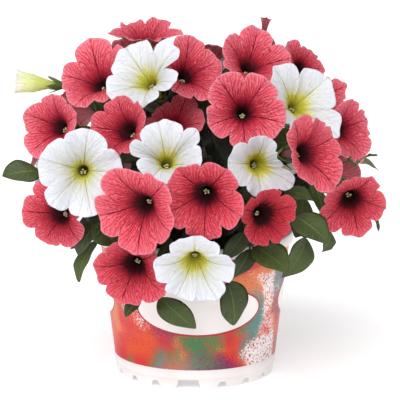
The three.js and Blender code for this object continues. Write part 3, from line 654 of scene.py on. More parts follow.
class Weave:
    """A mesh under construction: points in millimetres, two vectors a point, and faces with a material."""

    def __init__(self):
        self.points = []
        self.vectors = {"form": [], "ray": []}
        self.faces = []
        self.slots = []
        self.count = 0

    def add(self, points, form=(0, 0, 0), ray=(0, 0, 0)):
        """Adds a block of points, and returns their numbers in the same rows and columns."""
        shape = points.shape[:-1]
        numbers = self.count + np.arange(math.prod(shape)).reshape(shape)
        self.count += numbers.size
        self.points.append(points.reshape(-1, 3))
        for label, vector in (("form", form), ("ray", ray)):
            self.vectors[label].append(np.broadcast_to(vector, (*shape, 3)).reshape(-1, 3))
        return numbers

    def skin(self, numbers, slot, wrap=True):
        """Four-sided faces between a block's rows, whose columns go anticlockwise seen from above."""
        right = np.roll(numbers, -1, axis=1)
        if not wrap:
            numbers, right = numbers[:, :-1], right[:, :-1]
        quads = np.stack([numbers[:-1], right[:-1], right[1:], numbers[1:]], axis=-1).reshape(-1, 4)
        self.faces += quads.tolist()
        self.slots += [slot] * len(quads)

    def cap(self, numbers, slot, flip=False):
        """One face that closes a ring."""
        self.faces.append(list(numbers[::-1] if flip else numbers))
        self.slots.append(slot)

    def closed(self, points, slot):
        """A block of rings as one closed body, capped below its first row and above its last."""
        numbers = self.add(points)
        self.skin(numbers, slot)
        self.cap(numbers[0], slot, flip=True)
        self.cap(numbers[-1], slot)

    def object(self, name, materials):
        mesh = bpy.data.meshes.new(name)
        mesh.from_pydata((np.concatenate(self.points) * MM).tolist(), [], self.faces)
        for material in materials:
            mesh.materials.append(material)
        mesh.polygons.foreach_set("material_index", self.slots)
        mesh.polygons.foreach_set("use_smooth", [True] * len(self.faces))
        for label, vectors in self.vectors.items():
            attribute = mesh.attributes.new(label, "FLOAT_VECTOR", "POINT")
            attribute.data.foreach_set("vector", np.concatenate(vectors).ravel())
        mesh.update()
        made = bpy.data.objects.new(name, mesh)
        bpy.context.scene.collection.objects.link(made)
        return made


def dress(made, node):
    """Puts a finished piece in its CAD node's place."""
    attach(made, "root")
    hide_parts(node)


def petal_angles(bloom):
    """Angles round the limb in radians, closest together at the midribs and the notches."""
    even = np.arange(LOBE_STEPS) / LOBE_STEPS
    eased = even - 0.6 * np.sin(2 * TAU * even) / (2 * TAU)
    return np.radians((bloom.starts[:, None] + (bloom.ends - bloom.starts)[:, None] * eased).ravel())


def ripples(waves, bloom, angle, first_draw):
    """The sum of waves round a bloom, from the count and height of each, with drawn phases."""
    return sum(high * np.sin(n * angle + TAU * draw(bloom.index, first_draw + n)) for n, high in waves)


def petal_relief(bloom, angle, share):
    """Ruffles, the midribs' grooves, the folds at the notches and the hung edges, over the main form."""
    phase = bloom.phase(angle)[1]
    waves = ripples(RUFFLES, bloom, angle, 30) * share**2.2
    groove = RIB_GROOVE * bell(phase - 0.5, RIB_WIDTH) * np.minimum(1, 4 * share) * (1 - 0.7 * share)
    fold = NOTCH_FOLD * bell(np.minimum(phase, 1 - phase), FOLD_WIDTH) * share**1.5
    centre, width, depth = HUNG_EDGES.get(bloom.name, (0, 1, 0))
    away = (np.degrees(angle) - centre + 180) % 360 - 180
    hung = depth * bell(away, width) * share**4
    return bloom.radius / USUAL_RADIUS * (waves - groove - fold) - hung


def cleft_depths(bloom):
    """How deep the cleft at each of a bloom's notches is."""
    low, high = CLEFT
    drawn = [low + (high - low) * draw(bloom.index, 70 + notch) ** 2 for notch in range(LOBES)]
    return np.array(CLEFT_BLOOMS.get(bloom.name, drawn))


def petal_outline(bloom, angle):
    """The rim with small waves, a sharp cleft at each notch and a slight point on each lobe."""
    lobe, phase = bloom.phase(angle)
    beside = np.minimum(phase, 1 - phase)
    depth = cleft_depths(bloom)[(lobe + (phase > 0.5)) % LOBES]
    cleft = depth * np.maximum(0, 1 - beside / (0.05 + 0.4 * depth)) ** 1.4
    reach = POINTED_BLOOMS.get(bloom.name, LOBE_POINT * draw(bloom.index, 76))
    point = reach * bell(0.5 - beside, POINT_WIDTH)
    return bloom.rim(angle) * (1 + ripples(RIM_WAVES, bloom, angle, 60) - cleft + point)


def limb_rings(bloom, angles, shares, lift, spread):
    """Rings of the limb's front or back: lift moves them along the axis, and spread out from the throat."""
    throat = bloom.throat_radius
    share = np.asarray(shares)[:, None]
    angle = np.broadcast_to(angles, (len(shares), len(angles)))
    radius = throat + (petal_outline(bloom, angle) - throat) * share + spread * (1 - share) ** 2
    return ring_points(radius, angle, bloom.height(angle, share) + petal_relief(bloom, angle, share) + lift)


def tube_rings(angles, profile):
    """Round rings from a list of radii and heights."""
    radius, height = (np.array(values, float)[:, None] for values in zip(*profile))
    return ring_points(radius, angles, height)


def corolla(bloom):
    """A whole corolla as one skin: up the pit, over the limb's front, back behind it and down the tube."""
    weave = Weave()
    angles = petal_angles(bloom)
    throat = bloom.throat_radius
    end = TUBE_END_RADIUS * math.sqrt(bloom.scale)
    thick = PETAL_THICKNESS
    outside = throat + thick
    pit_steps = np.linspace(1, 0, PIT_RINGS, endpoint=False)
    front_shares = np.linspace(0, 1, LIMB_RINGS)
    back_shares = np.linspace(1, 0, BACK_RINGS)
    tube_steps = np.linspace(0, 1, TUBE_RINGS + 1)[1:]
    taper = outside - end
    pit = [(throat - taper * t**PIT_CURVE, -PIT_DEPTH * bloom.scale * t) for t in pit_steps]
    tube = [(outside - taper * t**TUBE_CURVE, -thick - (TUBE_LENGTH - thick) * t) for t in tube_steps]
    rings = np.concatenate([
        tube_rings(angles, pit),
        limb_rings(bloom, angles, front_shares, 0, 0),
        limb_rings(bloom, angles, back_shares, -thick, thick),
        tube_rings(angles, tube),
    ])
    shares = np.concatenate([-pit_steps, front_shares, back_shares, -tube_steps])[:, None]
    form = grid(np.abs(2 * bloom.phase(angles)[1] - 1), shares, DEEP_AND_SHADED_BLOOMS.get(bloom.name, 0))
    numbers = weave.add(bloom.place(rings), form, ring_points(1, angles, 5.0 * bloom.index))
    turn = PIT_RINGS + LIMB_RINGS
    weave.skin(numbers[:turn][::-1], 0)
    weave.skin(numbers[turn - 1 :][::-1], 1)
    weave.cap(numbers[0], 0)
    weave.cap(numbers[-1], 1, flip=True)
    add_anthers(weave, bloom)
    return weave


def add_lump(weave, bloom, centre, reach, slot):
    """A small rounded lump in a bloom."""
    latitude = np.linspace(-LUMP_LATITUDE, LUMP_LATITUDE, LUMP_ROWS)[:, None]
    ball = ring_points(np.cos(latitude), circle(LUMP_SIDES), np.sin(latitude))
    weave.closed(bloom.place(centre + ball * reach), slot)


def add_anthers(weave, bloom):
    """Anthers in the throat, towards its lower side, round a stigma."""
    size = bloom.scale
    for i in range(ANTHERS):
        angle = TAU * (i + 0.6 * draw(bloom.index, 90 + i)) / ANTHERS
        out = 1.3 + 0.5 * draw(bloom.index, 95 + i)
        low = -4.2 + 1.6 * draw(bloom.index, 99 + i)
        centre = np.array([out * math.cos(angle), out * math.sin(angle) - 1.1, low])
        add_lump(weave, bloom, centre * size, ANTHER_REACH * size, 2)
    add_lump(weave, bloom, STIGMA_PLACE * size, STIGMA_REACH * size, 3)


def carry(points, across):
    """Directions across a line of points, carried back from its last point without twist."""
    frames = []
    for i in range(len(points) - 1, -1, -1):
        along = unit(points[min(i + 1, len(points) - 1)] - points[max(i - 1, 0)])
        across = unit(across - along * across.dot(along))
        frames.append((across, np.cross(along, across)))
    return frames[::-1]


def add_tube(weave, points, radii, across, sides, slot):
    """A tube along a line of points, its last ring turned to a given direction."""
    angles = circle(sides)[:, None]
    rings = [
        point + radius * (np.cos(angles) * side + np.sin(angles) * over)
        for point, radius, (side, over) in zip(points, radii, carry(points, across))
    ]
    weave.closed(np.array(rings), slot)


def calyx_radius(height):
    """The calyx's outer radius at a height in the bloom's own frame."""
    risen = (height + CALYX_START) / (CALYX_START + SEPAL_TIP[1])
    return PEDICEL_RADIUS + (SEPAL_TIP[0] - PEDICEL_RADIUS) * np.maximum(risen, 0) ** 1.13


def add_calyx(weave, bloom, slot):
    """The cone under a bloom, which opens into five narrow pointed sepals."""
    angles = circle(2 * LOBES * SEPAL_STEPS)
    off = np.abs(((LOBES * angles / TAU + 0.5) % 1) * 2 - 1)
    edge = SEPAL_VALLEY + (SEPAL_TIP[1] - SEPAL_VALLEY) * (1 - off) ** 1.35
    outer = np.linspace(0, 1, CALYX_RINGS)[:, None]
    inner = outer[::-1][: CALYX_RINGS - 3]
    heights = -CALYX_START + (edge + CALYX_START) * np.concatenate([outer, inner])
    inset = np.concatenate([0 * outer, SEPAL_THICKNESS * (1 - 0.6 * inner**4)])
    rings = ring_points(calyx_radius(heights) - inset, angles, heights + 0.2 * inset)
    weave.closed(bloom.place(rings), slot)


def blade_width(share):
    """A leaf's half width along its midrib, as a share of its widest."""
    return 1.02 * np.sin(math.pi * share**0.78) ** 0.85


def round_blade(upper, lower):
    """Rows over a blade's upper side and back under it, which meet at its edges."""
    return np.concatenate([upper, lower[:, 1:-1][:, ::-1]], axis=1)


def add_blade(weave, leaf, upper_slot, lower_slot):
    """A leaf blade with raised veins and a waved edge."""
    share = np.linspace(0.012, 0.988, LEAF_ROWS)[:, None]
    even = np.linspace(-1, 1, LEAF_COLUMNS + 1)
    across = np.sign(even) * np.abs(even) ** 0.85
    reach = leaf.half_width * blade_width(share) * across
    vein = np.cos(TAU * (VEIN_PAIRS * (share - 0.3 * np.abs(across)) + draw(leaf.seed, 3)))
    inside = (1 - across**2) * np.sin(math.pi * share) * np.minimum(1, 4 * np.abs(across))
    wave = LEAF_WAVE * np.sin(TAU * (2.5 * share + draw(leaf.seed, 4))) * across**3
    lift = LEAF_FOLD * (np.sqrt(reach**2 + 0.5) - 0.7) + VEIN_RIDGE * vein * inside + wave
    rib = bezier(leaf.rib, share[:, 0])[:, None, :]
    middle = rib + reach[..., None] * leaf.side + lift[..., None] * leaf.face
    half = LEAF_THICKNESS / 2 * np.sqrt(1 - across**2)[:, None] * leaf.face
    form = grid(across, share, draw(leaf.seed, 1))
    points = round_blade(middle + half, middle - half)
    numbers = weave.add(points, round_blade(form, form), (leaf.half_width, 0, 0))
    weave.skin(numbers[:, : LEAF_COLUMNS + 1], upper_slot, wrap=False)
    weave.skin(np.concatenate([numbers[:, LEAF_COLUMNS:], numbers[:, :1]], axis=1), lower_slot, wrap=False)
    weave.cap(numbers[0], lower_slot, flip=True)
    weave.cap(numbers[-1], upper_slot)


def add_petiole(weave, leaf, slot):
    """The petiole, which runs on a little way under the blade's midrib."""
    run_on = bezier(leaf.rib, [0.0, 0.1, 0.25]) - 0.35 * leaf.face
    points = np.array([leaf.start, (leaf.start + leaf.rib[0]) / 2, *run_on])
    add_tube(weave, points, PETIOLE_RADII, leaf.side, PETIOLE_SIDES, slot)


def leafy_stem(stem, leaves):
    """A stem from its root in the soil, with its stalks, calyces and leaves."""
    weave = Weave()
    even = np.linspace(0, 1, STEM_STEPS)
    lines = [bezier(curve, even) for curve in stem.curves()]
    lines[0] = np.array([stem.foot, *lines[0]])
    for line, bloom in zip(lines, stem.borne):
        start_radius = STEM_RADIUS if line is lines[0] else PEDICEL_RADIUS
        radii = np.linspace(start_radius, PEDICEL_RADIUS, len(line))
        add_tube(weave, line, radii, bloom.basis[0], STEM_SIDES, 0)
    for bloom in stem.borne:
        add_calyx(weave, bloom, 3)
    for leaf in leaves:
        add_blade(weave, leaf, 1, 2)
        add_petiole(weave, leaf, 0)
    return weave


def foot_cuts():
    """The azimuth, angle and height of each gap and notch in the skirt."""
    cuts = []
    for quarter in range(4):
        azimuth = FEET_TURN + 90 * quarter
        cuts.append((azimuth, GAP_ANGLE, GAP_HEIGHT))
        azimuth += GAP_ANGLE / 2 + FOOT_ANGLE + NOTCH_ANGLE / 2
        for _ in range(3):
            cuts.append((azimuth, NOTCH_ANGLE, NOTCH_HEIGHT))
            azimuth += FOOT_ANGLE + NOTCH_ANGLE
    return cuts


def foot_height(azimuths):
    """The height of the skirt's lower edge: 0 under the feet, with bevelled cuts between them."""
    height = np.zeros(len(azimuths))
    for centre, width, depth in foot_cuts():
        away = np.abs((azimuths - centre + 180) % 360 - 180)
        rise = np.clip((width / 2 - away) / FOOT_BEVEL + 0.5, 0, 1)
        height = np.maximum(height, depth * rise * rise * (3 - 2 * rise))
    return height


def pot_azimuths():
    """Azimuths round the pot, with extra ones across the edge of each cut."""
    azimuths = list(np.arange(POT_SEGMENTS) * 360 / POT_SEGMENTS)
    for centre, width, _ in foot_cuts():
        for edge in (centre - width / 2, centre + width / 2):
            azimuths += [(edge + FOOT_BEVEL * step) % 360 for step in BEVEL_STEPS]
    return np.unique(np.round(azimuths, 2))


def pot_profile():
    """The wall over the skirt, from outside to in: radius, height, and 1 if printed up to the next."""
    band_foot = POT_HEIGHT - RIM_HEIGHT
    inside = POT_RIM_RADIUS - RIM_OVERHANG - WALL
    floor = SKIRT_HEIGHT + WALL
    skirt = wall_radius(SKIRT_HEIGHT)
    return [
        (skirt, SKIRT_HEIGHT - LEDGE, 0),
        (skirt + 0.7 * LEDGE, SKIRT_HEIGHT - 0.6 * LEDGE, 0),
        (skirt + LEDGE, SKIRT_HEIGHT, 0),
        (skirt + LEDGE, SKIRT_HEIGHT + 2 * LEDGE, 0),
        (wall_radius(PRINT_FOOT) + 0.3, PRINT_FOOT - 0.2, 0),
        (wall_radius(PRINT_FOOT), PRINT_FOOT, 1),
        (wall_radius(band_foot), band_foot, 0),
        (POT_RIM_RADIUS - 0.6, band_foot + 0.2, 0),
        (POT_RIM_RADIUS, band_foot + LEDGE + 0.2, 0),
        (POT_RIM_RADIUS, POT_HEIGHT - 1, 0),
        (POT_RIM_RADIUS - 0.4, POT_HEIGHT - 0.2, 0),
        (POT_RIM_RADIUS - 1, POT_HEIGHT, 0),
        (inside + 0.8, POT_HEIGHT, 0),
        (inside + 0.1, POT_HEIGHT - 0.4, 0),
        (inside, POT_HEIGHT - 1.2, 0),
        (inner_radius(floor) + 0.4, floor + 2, 0),
        (inner_radius(floor) - 1.2, floor, 0),
        (AXIS_RADIUS, floor, 0),
    ]


def pot_body():
    """The pot as one skin: from under its floor down inside the skirt, round its edge and up the wall."""
    azimuths = pot_azimuths()
    lowest = foot_height(azimuths)

    def level(radius, z):
        return np.full((len(azimuths), 2), [radius, z])

    def skirt(share, inset):
        z = lowest + (SKIRT_HEIGHT - LEDGE - lowest) * share
        return np.stack([wall_radius(z) - inset, z], axis=-1)

    rings = [level(AXIS_RADIUS, SKIRT_HEIGHT), level(wall_radius(SKIRT_HEIGHT) - SKIRT_WALL, SKIRT_HEIGHT)]
    rings += [skirt(0.5, SKIRT_WALL), skirt(0.1, SKIRT_WALL), skirt(0.0, SKIRT_WALL - 0.4)]
    rings += [skirt(0.0, 0.5), skirt(0.06, 0.1), skirt(0.3, 0.0)]
    slots = [0] * len(rings) + [printed for _, _, printed in pot_profile()]
    flat = np.array(rings + [level(radius, z) for radius, z, _ in pot_profile()])
    angle = np.radians(azimuths)
    weave = Weave()
    numbers = weave.add(grid(flat[..., 0] * np.sin(angle), -flat[..., 0] * np.cos(angle), flat[..., 1]))
    for i in range(len(slots) - 1):
        weave.skin(numbers[i : i + 2], slots[i])
    weave.cap(numbers[0], 0, flip=True)
    weave.cap(numbers[-1], 0)
    return weave


def cut_drains(pot):
    """Cuts the round drain holes through the pot's floor."""
    weave = Weave()
    profile = [(DRAIN_RADIUS, SKIRT_HEIGHT - 2 * WALL), (DRAIN_RADIUS, SKIRT_HEIGHT + 3 * WALL)]
    for turn in circle(DRAINS):
        centre = np.array([DRAIN_CIRCLE * math.cos(turn), DRAIN_CIRCLE * math.sin(turn), 0])
        weave.closed(tube_rings(circle(DRAIN_SEGMENTS), profile) + centre, 0)
    cutter = weave.object("drain_cutter", [])
    cut = pot.modifiers.new("drains", "BOOLEAN")
    cut.operation = "DIFFERENCE"
    cut.solver = "EXACT"
    cut.object = cutter
    bpy.context.view_layer.objects.active = pot
    bpy.ops.object.modifier_apply(modifier=cut.name)
    bpy.data.objects.remove(cutter)


def soil_body():
    """The soil: crumbs over a low mound, with smooth sides and foot inside the pot."""
    weave = Weave()
    random = np.random.default_rng(SOIL_SEED)
    angles = circle(SOIL_SEGMENTS)
    edge = inner_radius(SOIL_EDGE) - SOIL_GAP
    floor = SKIRT_HEIGHT + WALL + 0.3
    radii = edge * np.linspace(1, 0.01, SOIL_RINGS)[:, None]
    bumps = random.normal(0, SOIL_CRUMB, (SOIL_RINGS, SOIL_SEGMENTS))
    bumps = (bumps + np.roll(bumps, 1, axis=1) + np.roll(bumps, 1, axis=0)) / 1.8
    bumps *= np.clip(radii / 20, 0.05, 1)
    heights = soil_top(radii, 0) + np.clip(bumps, *SOIL_BUMPS) * (radii < edge)
    sides = [(inner_radius(z) - SOIL_GAP, z) for z in (floor, SOIL_HALFWAY)]
    below = tube_rings(angles, [(AXIS_RADIUS, floor), *sides])
    weave.closed(np.concatenate([below, ring_points(radii, angles, heights)]), 0)
    return weave


def colour(red, green, blue):
    """A colour from 0 to 255 as the renderer's linear red, green, blue and alpha."""
    parts = [part / 255 for part in (red, green, blue)]
    return (*(c / 12.92 if c <= 0.04045 else ((c + 0.055) / 1.055) ** 2.4 for c in parts), 1.0)


class Signal:
    """A node's output, so that a material's values add, subtract, multiply and divide as numbers do."""

    def __init__(self, paint, socket):
        self.paint = paint
        self.socket = socket

    def __add__(self, other):
        return self.paint.math("ADD", self, other)

    def __sub__(self, other):
        return self.paint.math("SUBTRACT", self, other)

    def __rsub__(self, other):
        return self.paint.math("SUBTRACT", other, self)

    def __mul__(self, other):
        return self.paint.math("MULTIPLY", self, other)

    def __truediv__(self, other):
        return self.paint.math("DIVIDE", self, other)


class Paint:
    """A material under construction. Most methods add a node and return its output as a signal."""

    def __init__(self, name, roughness, gloss=0.5):
        self.material = bpy.data.materials.new(name)
        self.material.use_nodes = True
        self.tree = self.material.node_tree
        self.shader = self.tree.nodes["Principled BSDF"]
        self.shader.inputs["Roughness"].default_value = roughness
        self.shader.inputs["Specular IOR Level"].default_value = gloss

    def feed(self, socket, value):
        """Links a signal to a socket, or sets a number or colour on it."""
        if isinstance(value, Signal):
            self.tree.links.new(value.socket, socket)
        else:
            socket.default_value = value

    def node(self, kind, inputs, output=0, **settings):
        made = self.tree.nodes.new("ShaderNode" + kind)
        for key, value in settings.items():
            setattr(made, key, value)
        for name, value in inputs.items():
            self.feed(made.inputs[name], value)
        return Signal(self, made.outputs[output])

    def math(self, operation, a, b=0.0, c=0.0):
        return self.node("Math", {0: a, 1: b, 2: c}, operation=operation)

    def attribute(self, name):
        """One of the mesh's vectors."""
        return self.node("Attribute", {}, output="Vector", attribute_name=name)

    def place(self):
        """The point's own place in metres."""
        return self.node("TexCoord", {}, output="Object")

    def split(self, vector):
        made = self.node("SeparateXYZ", {0: vector}).socket.node
        return [Signal(self, output) for output in made.outputs]

    def scaled(self, vector, factors, offset=(0, 0, 0)):
        return self.node("VectorMath", {0: vector, 1: factors, 2: offset}, operation="MULTIPLY_ADD")

    def noise(self, vector, scale, detail=2.0, roughness=0.5):
        inputs = {"Vector": vector, "Scale": scale, "Detail": detail, "Roughness": roughness}
        return self.node("TexNoise", inputs)

    def cells(self, vector, scale, feature="F1"):
        return self.node("TexVoronoi", {"Vector": vector, "Scale": scale}, feature=feature)

    def step(self, value, low, high):
        """A smooth step: 0 where the value is at low, and 1 where it is at high."""
        inputs = {0: value, 1: low, 2: high, 3: 0.0, 4: 1.0}
        return self.node("MapRange", inputs, interpolation_type="SMOOTHSTEP")

    def lines(self, value, width):
        """Thin lines where a value is whole: 1 on a line, and 0 from a width away."""
        return self.step(self.math("PINGPONG", value, 0.5), width, 0.0)

    def ramp(self, value, stops):
        made = self.node("ValToRGB", {0: value})
        elements = made.socket.node.color_ramp.elements
        while len(elements) < len(stops):
            elements.new(0.5)
        for element, (position, tint) in zip(elements, stops):
            element.position = position
            element.color = colour(*tint)
        return made

    def over(self, base, cover, tint, blend="MIX"):
        """A colour laid over another one where its cover is 1."""
        base, tint = (colour(*c) if isinstance(c, tuple) else c for c in (base, tint))
        inputs = {0: cover, 6: base, 7: tint}
        return self.node("Mix", inputs, output=2, data_type="RGBA", blend_type=blend)

    def layers(self, base, covers):
        """Colours laid over a base one after another, each with its cover."""
        for cover, tint in covers:
            base = self.over(base, cover, tint)
        return base

    def finish(self, tint, roughness=None, height=None, depth=0.3):
        """Joins a colour, a roughness and a bump of so many millimetres to the shader."""
        self.feed(self.shader.inputs["Base Color"], tint)
        if roughness is not None:
            self.feed(self.shader.inputs["Roughness"], roughness)
        if height is not None:
            bumped = self.node("Bump", {"Height": height, "Distance": depth * MM, "Strength": 1.0})
            self.feed(self.shader.inputs["Normal"], bumped)
        return self.material


def petal_veins(paint, off, share, ray):
    """A petal's midrib, coarse and fine side veins that leave it outwards, radial streaks and flecks."""

    def streaked(number, along, detail):
        """Noise drawn out along the petal: how many streaks go round it, and how soon they change."""
        drawn_out = paint.node("CombineXYZ", {2: share * along})
        return paint.noise(paint.scaled(ray, (number, number, 1), drawn_out), 1.0, detail, 0.6)

    wobble = streaked(8, 5, 2.0) - 0.5
    slant = share * -0.55 + off
    rib = paint.step(off / (share * -0.035 + 0.06), 1.0, 0.35)
    coarse = paint.lines(wobble * 1.8 + slant * 6, 0.24)
    fine = paint.lines(wobble * 3.0 + slant * 14, 0.3)
    return rib, coarse, fine, streaked(20, 4, 3.0), streaked(30, 9, 2.0)


def coral_paint(name, pale):
    """A coral petal: a near-black throat that runs out along the veins, crimson to coral, a pink edge, pale
    flecks and glints as painted highlights, and a darkening of the deeper blooms that is partly painted
    shade.
    """
    paint = Paint(name, 0.5, 0.35)
    off, share, deep_and_shade = paint.split(paint.attribute("form"))
    rib, coarse, fine, streaks, flecks = petal_veins(paint, off, share, paint.attribute("ray"))
    # Painted highlights: tiny pale pink glints where the petal's crinkles would catch the light
    glints = paint.step(paint.noise(paint.place(), 850.0, 1.0), 0.66, 0.72) * flecks
    spill = deep_and_shade * 0.16 + (streaks * 0.4 + (rib * 0.2 + coarse * 0.1 - 0.2))
    outer = paint.step(share, 0.15, 0.5)
    # The first layer's pale pink flecks between the veins are painted highlights on the crinkles
    base = paint.layers(paint.ramp(share - spill, CORAL_RAMP), [
        (paint.step(flecks, 0.48, 0.68) * ((1.0 - coarse) * outer) * 0.65, (252, 158, 166)),
        (glints * paint.step(share, 0.12, 0.4), (255, 206, 212)),
        (fine * 0.4 * outer, (190, 36, 62)),
        ((paint.step(share, 1.05, 0.5) * 0.5 + 0.25) * coarse, (160, 22, 50)),
        (rib * paint.step(share, 1.0, 0.6), (108, 14, 38)),
        (paint.step(share, 0.93, 0.99) * 0.6, (252, 160, 176)),
    ])
    # Partly painted shade: the deeper blooms, most of them low in the plant and among other blooms, are
    # darkened along with their deeper colour
    base = paint.over(base, deep_and_shade * 0.8, (206, 84, 112), "MULTIPLY")
    if pale:
        base = paint.over(base, 0.35, (236, 150, 156))
    height = rib * -0.6 + coarse * -0.5 + (fine * -0.25 + flecks * 1.4)
    return paint.finish(base, height=height, depth=0.9)


def white_paint(name):
    """A white petal: a yellow-green throat, darker in some blooms, and thin yellow-green midribs."""
    paint = Paint(name, 0.5, 0.3)
    off, share, olive = paint.split(paint.attribute("form"))
    rib, coarse, fine, streaks, flecks = petal_veins(paint, off, share, paint.attribute("ray"))
    spill = olive * -0.1 + (streaks * 0.36 + (rib * 0.24 + coarse * 0.1 - 0.18))
    base = paint.layers(paint.ramp(share - spill, WHITE_RAMP), [
        (paint.step(share, 0.1, -0.15) * (olive * 0.7 + 0.15), (74, 80, 20)),
        (coarse * 0.4 * paint.step(share, 0.5, 0.12), (196, 196, 84)),
        (fine * 0.14, (198, 202, 214)),
        (rib * 0.8 * paint.step(share, 0.9, 0.25), (184, 184, 66)),
    ])
    height = rib * -0.6 + coarse * -0.4 + (fine * -0.25 + flecks * 0.8)
    return paint.finish(base, height=height, depth=0.6)


def lime_paint():
    """A bud: greenish cream, with green veins from the tube."""
    paint = Paint("lime_bud", 0.5, 0.35)
    off, share, _ = paint.split(paint.attribute("form"))
    rib, coarse, _, streaks, _ = petal_veins(paint, off, share, paint.attribute("ray"))
    base = paint.ramp(streaks * 0.3 + (share * 0.5 + 0.35), LIME_RAMP)
    base = paint.over(base, coarse * 0.4, (146, 156, 62))
    return paint.finish(base, height=rib * -0.8 + coarse * -0.4)


def grain_paint(name, roughness, scale, dark, light, depth):
    """A fine-grained surface between two colours."""
    paint = Paint(name, roughness)
    grains = paint.noise(paint.place(), scale)
    return paint.finish(paint.ramp(grains, [(0.3, dark), (0.7, light)]), height=grains, depth=depth)


def shaded(paint, base):
    """Darkens the foliage inside the plant, which gets little light."""
    away = paint.scaled(paint.place(), 1 / (SHELL_REACH * MM), -SHELL_CENTRE / SHELL_REACH)
    outer = paint.node("VectorMath", {0: away}, output="Value", operation="LENGTH")
    return paint.over(base, paint.step(outer, 0.9, 0.62), (92, 96, 92), "MULTIPLY")


def leaf_paint(name, dark, light, rib_tint):
    """A leaf's face: dark olive, with a paler midrib and side veins that curve to the edge."""
    paint = Paint(name, 0.42, 0.45)
    across, share, tone = paint.split(paint.attribute("form"))
    half_width = paint.split(paint.attribute("ray"))[0]
    off = paint.math("ABSOLUTE", across)
    place = paint.place()
    cloud = paint.noise(place, 90.0, 3.0)
    slant = share - paint.math("POWER", off, 0.8) * 0.3
    side_veins = paint.lines(cloud * 0.3 + slant * VEIN_PAIRS, 0.07)
    net = paint.step(paint.cells(place, 520.0, "DISTANCE_TO_EDGE"), 0.09, 0.0)
    rib = paint.step(off * half_width, 0.9, 0.15)
    base = paint.ramp(tone * 0.5 + cloud * 0.6, [(0.15, dark), (0.85, light)])
    base = paint.layers(base, [(cover, rib_tint) for cover in (net * 0.16, side_veins * 0.28, rib * 0.65)])
    height = side_veins * -0.7 + net * -0.25 + rib * -0.8
    return paint.finish(shaded(paint, base), cloud * 0.2 + 0.36, height)


def stem_paint(name, dark, light):
    """A stalk's or calyx's skin, with fine hairs."""
    paint = Paint(name, 0.5, 0.4)
    place = paint.place()
    cloud = paint.noise(place, 140.0, 3.0)
    hairs = paint.noise(paint.scaled(place, (1, 1, 0.25)), 1500.0)
    base = paint.ramp(hairs * 0.35 + cloud * 0.65, [(0.3, dark), (0.7, light)])
    return paint.finish(shaded(paint, base), height=hairs, depth=0.15)


def soil_paint():
    """Peat: dark brown crumbs and fibres."""
    paint = Paint("peat", 0.95, 0.2)
    place = paint.place()
    crumbs = paint.cells(place, 420.0)
    fine = paint.noise(place, 1300.0, 4.0, 0.65)
    stops = [(0.25, (22, 16, 12)), (0.6, (52, 39, 29)), (0.85, (104, 82, 62))]
    base = paint.ramp(fine * 0.7 + crumbs * 0.3, stops)
    return paint.finish(base, height=fine + crumbs * 0.6, depth=1.2)


def plastic_paint():
    """The pot's moulded plastic: pinkish white, faintly uneven."""
    paint = Paint("pot_plastic", 0.35)
    place = paint.place()
    grain = paint.noise(place, 1100.0)
    base = paint.ramp(paint.noise(place, 30.0, 3.0), [(0.3, (232, 225, 223)), (0.7, (241, 235, 234))])
    return paint.finish(base, grain * 0.15 + 0.3, grain, 0.05)


def print_panels(paint, azimuth, height):
    """The bare oval panels, and the same with the line round them: each 1 inside and 0 outside."""
    radius = wall_radius(PANEL_HEIGHT)
    half_width = radius * math.radians(PANEL_HALF_ANGLE)
    ovals = []
    for grow in (0.0, PANEL_LINE):
        distances = []
        for centre in PANEL_AZIMUTHS:
            turn = paint.math("WRAP", azimuth - math.radians(centre), math.pi, -math.pi)
            x = turn * (radius / (half_width + grow))
            y = (height - PANEL_HEIGHT) / (PANEL_HALF_HEIGHT + grow)
            distances.append(paint.math("SQRT", x * x + y * y))
        nearest = distances.pop()
        for distance in distances:
            nearest = paint.math("MINIMUM", nearest, distance)
        ovals.append(paint.step(nearest, 1.004, 0.996))
    return ovals


def print_paint():
    """The pot's print: drifts of coloured powder on coral red, round bare white ovals."""
    paint = Paint("pot_print", 0.32)
    place = paint.place()
    x, y, z = paint.split(place)
    powder = paint.noise(place, 1000.0, 2.0, 0.7)
    base = paint.over((218, 36, 44), paint.step(paint.noise(place, 26.0), 0.46, 0.66), (230, 82, 38))
    for seed, scale, cover, rough, tint in PRINT_DRIFTS:
        moved = paint.scaled(place, (1, 1, 0.8), (seed, 3.1 * seed, 0))
        edge = cover + rough / 2
        drift = paint.step(powder * rough + paint.noise(moved, scale), edge, edge + 0.03)
        base = paint.over(base, drift * 0.9, tint)
    bare = powder * 0.3 + paint.noise(paint.scaled(place, (1, 1, 1), PRINT_BARE), 20.0)
    grit = paint.step(paint.noise(place, 620.0, 2.0, 0.6), 0.55, 0.6)
    panel, outer = print_panels(paint, paint.math("ARCTAN2", x, y * -1.0), z * (1 / MM))
    base = paint.layers(base, [
        (paint.step(powder, 0.54, 0.62) * 0.6, (158, 24, 44)),
        (paint.step(bare, 0.71, 0.74), paint.over((248, 238, 238), grit, (178, 26, 46))),
        (outer, (186, 22, 34)),
        (panel, (250, 244, 243)),
    ])
    return paint.finish(base, powder * 0.1 + 0.3, powder, 0.04)


def floor_paint():
    """The floor's pale paper, which glows a little so that it stays white."""
    paint = Paint("floor_paper", 0.9, 0.1)
    paint.shader.inputs["Emission Color"].default_value = (1, 1, 1, 1)
    paint.shader.inputs["Emission Strength"].default_value = FLOOR_GLOW
    grain = paint.noise(paint.place(), 300.0)
    return paint.finish(paint.ramp(grain, [(0.0, (246, 246, 247)), (1.0, (252, 252, 253))]))


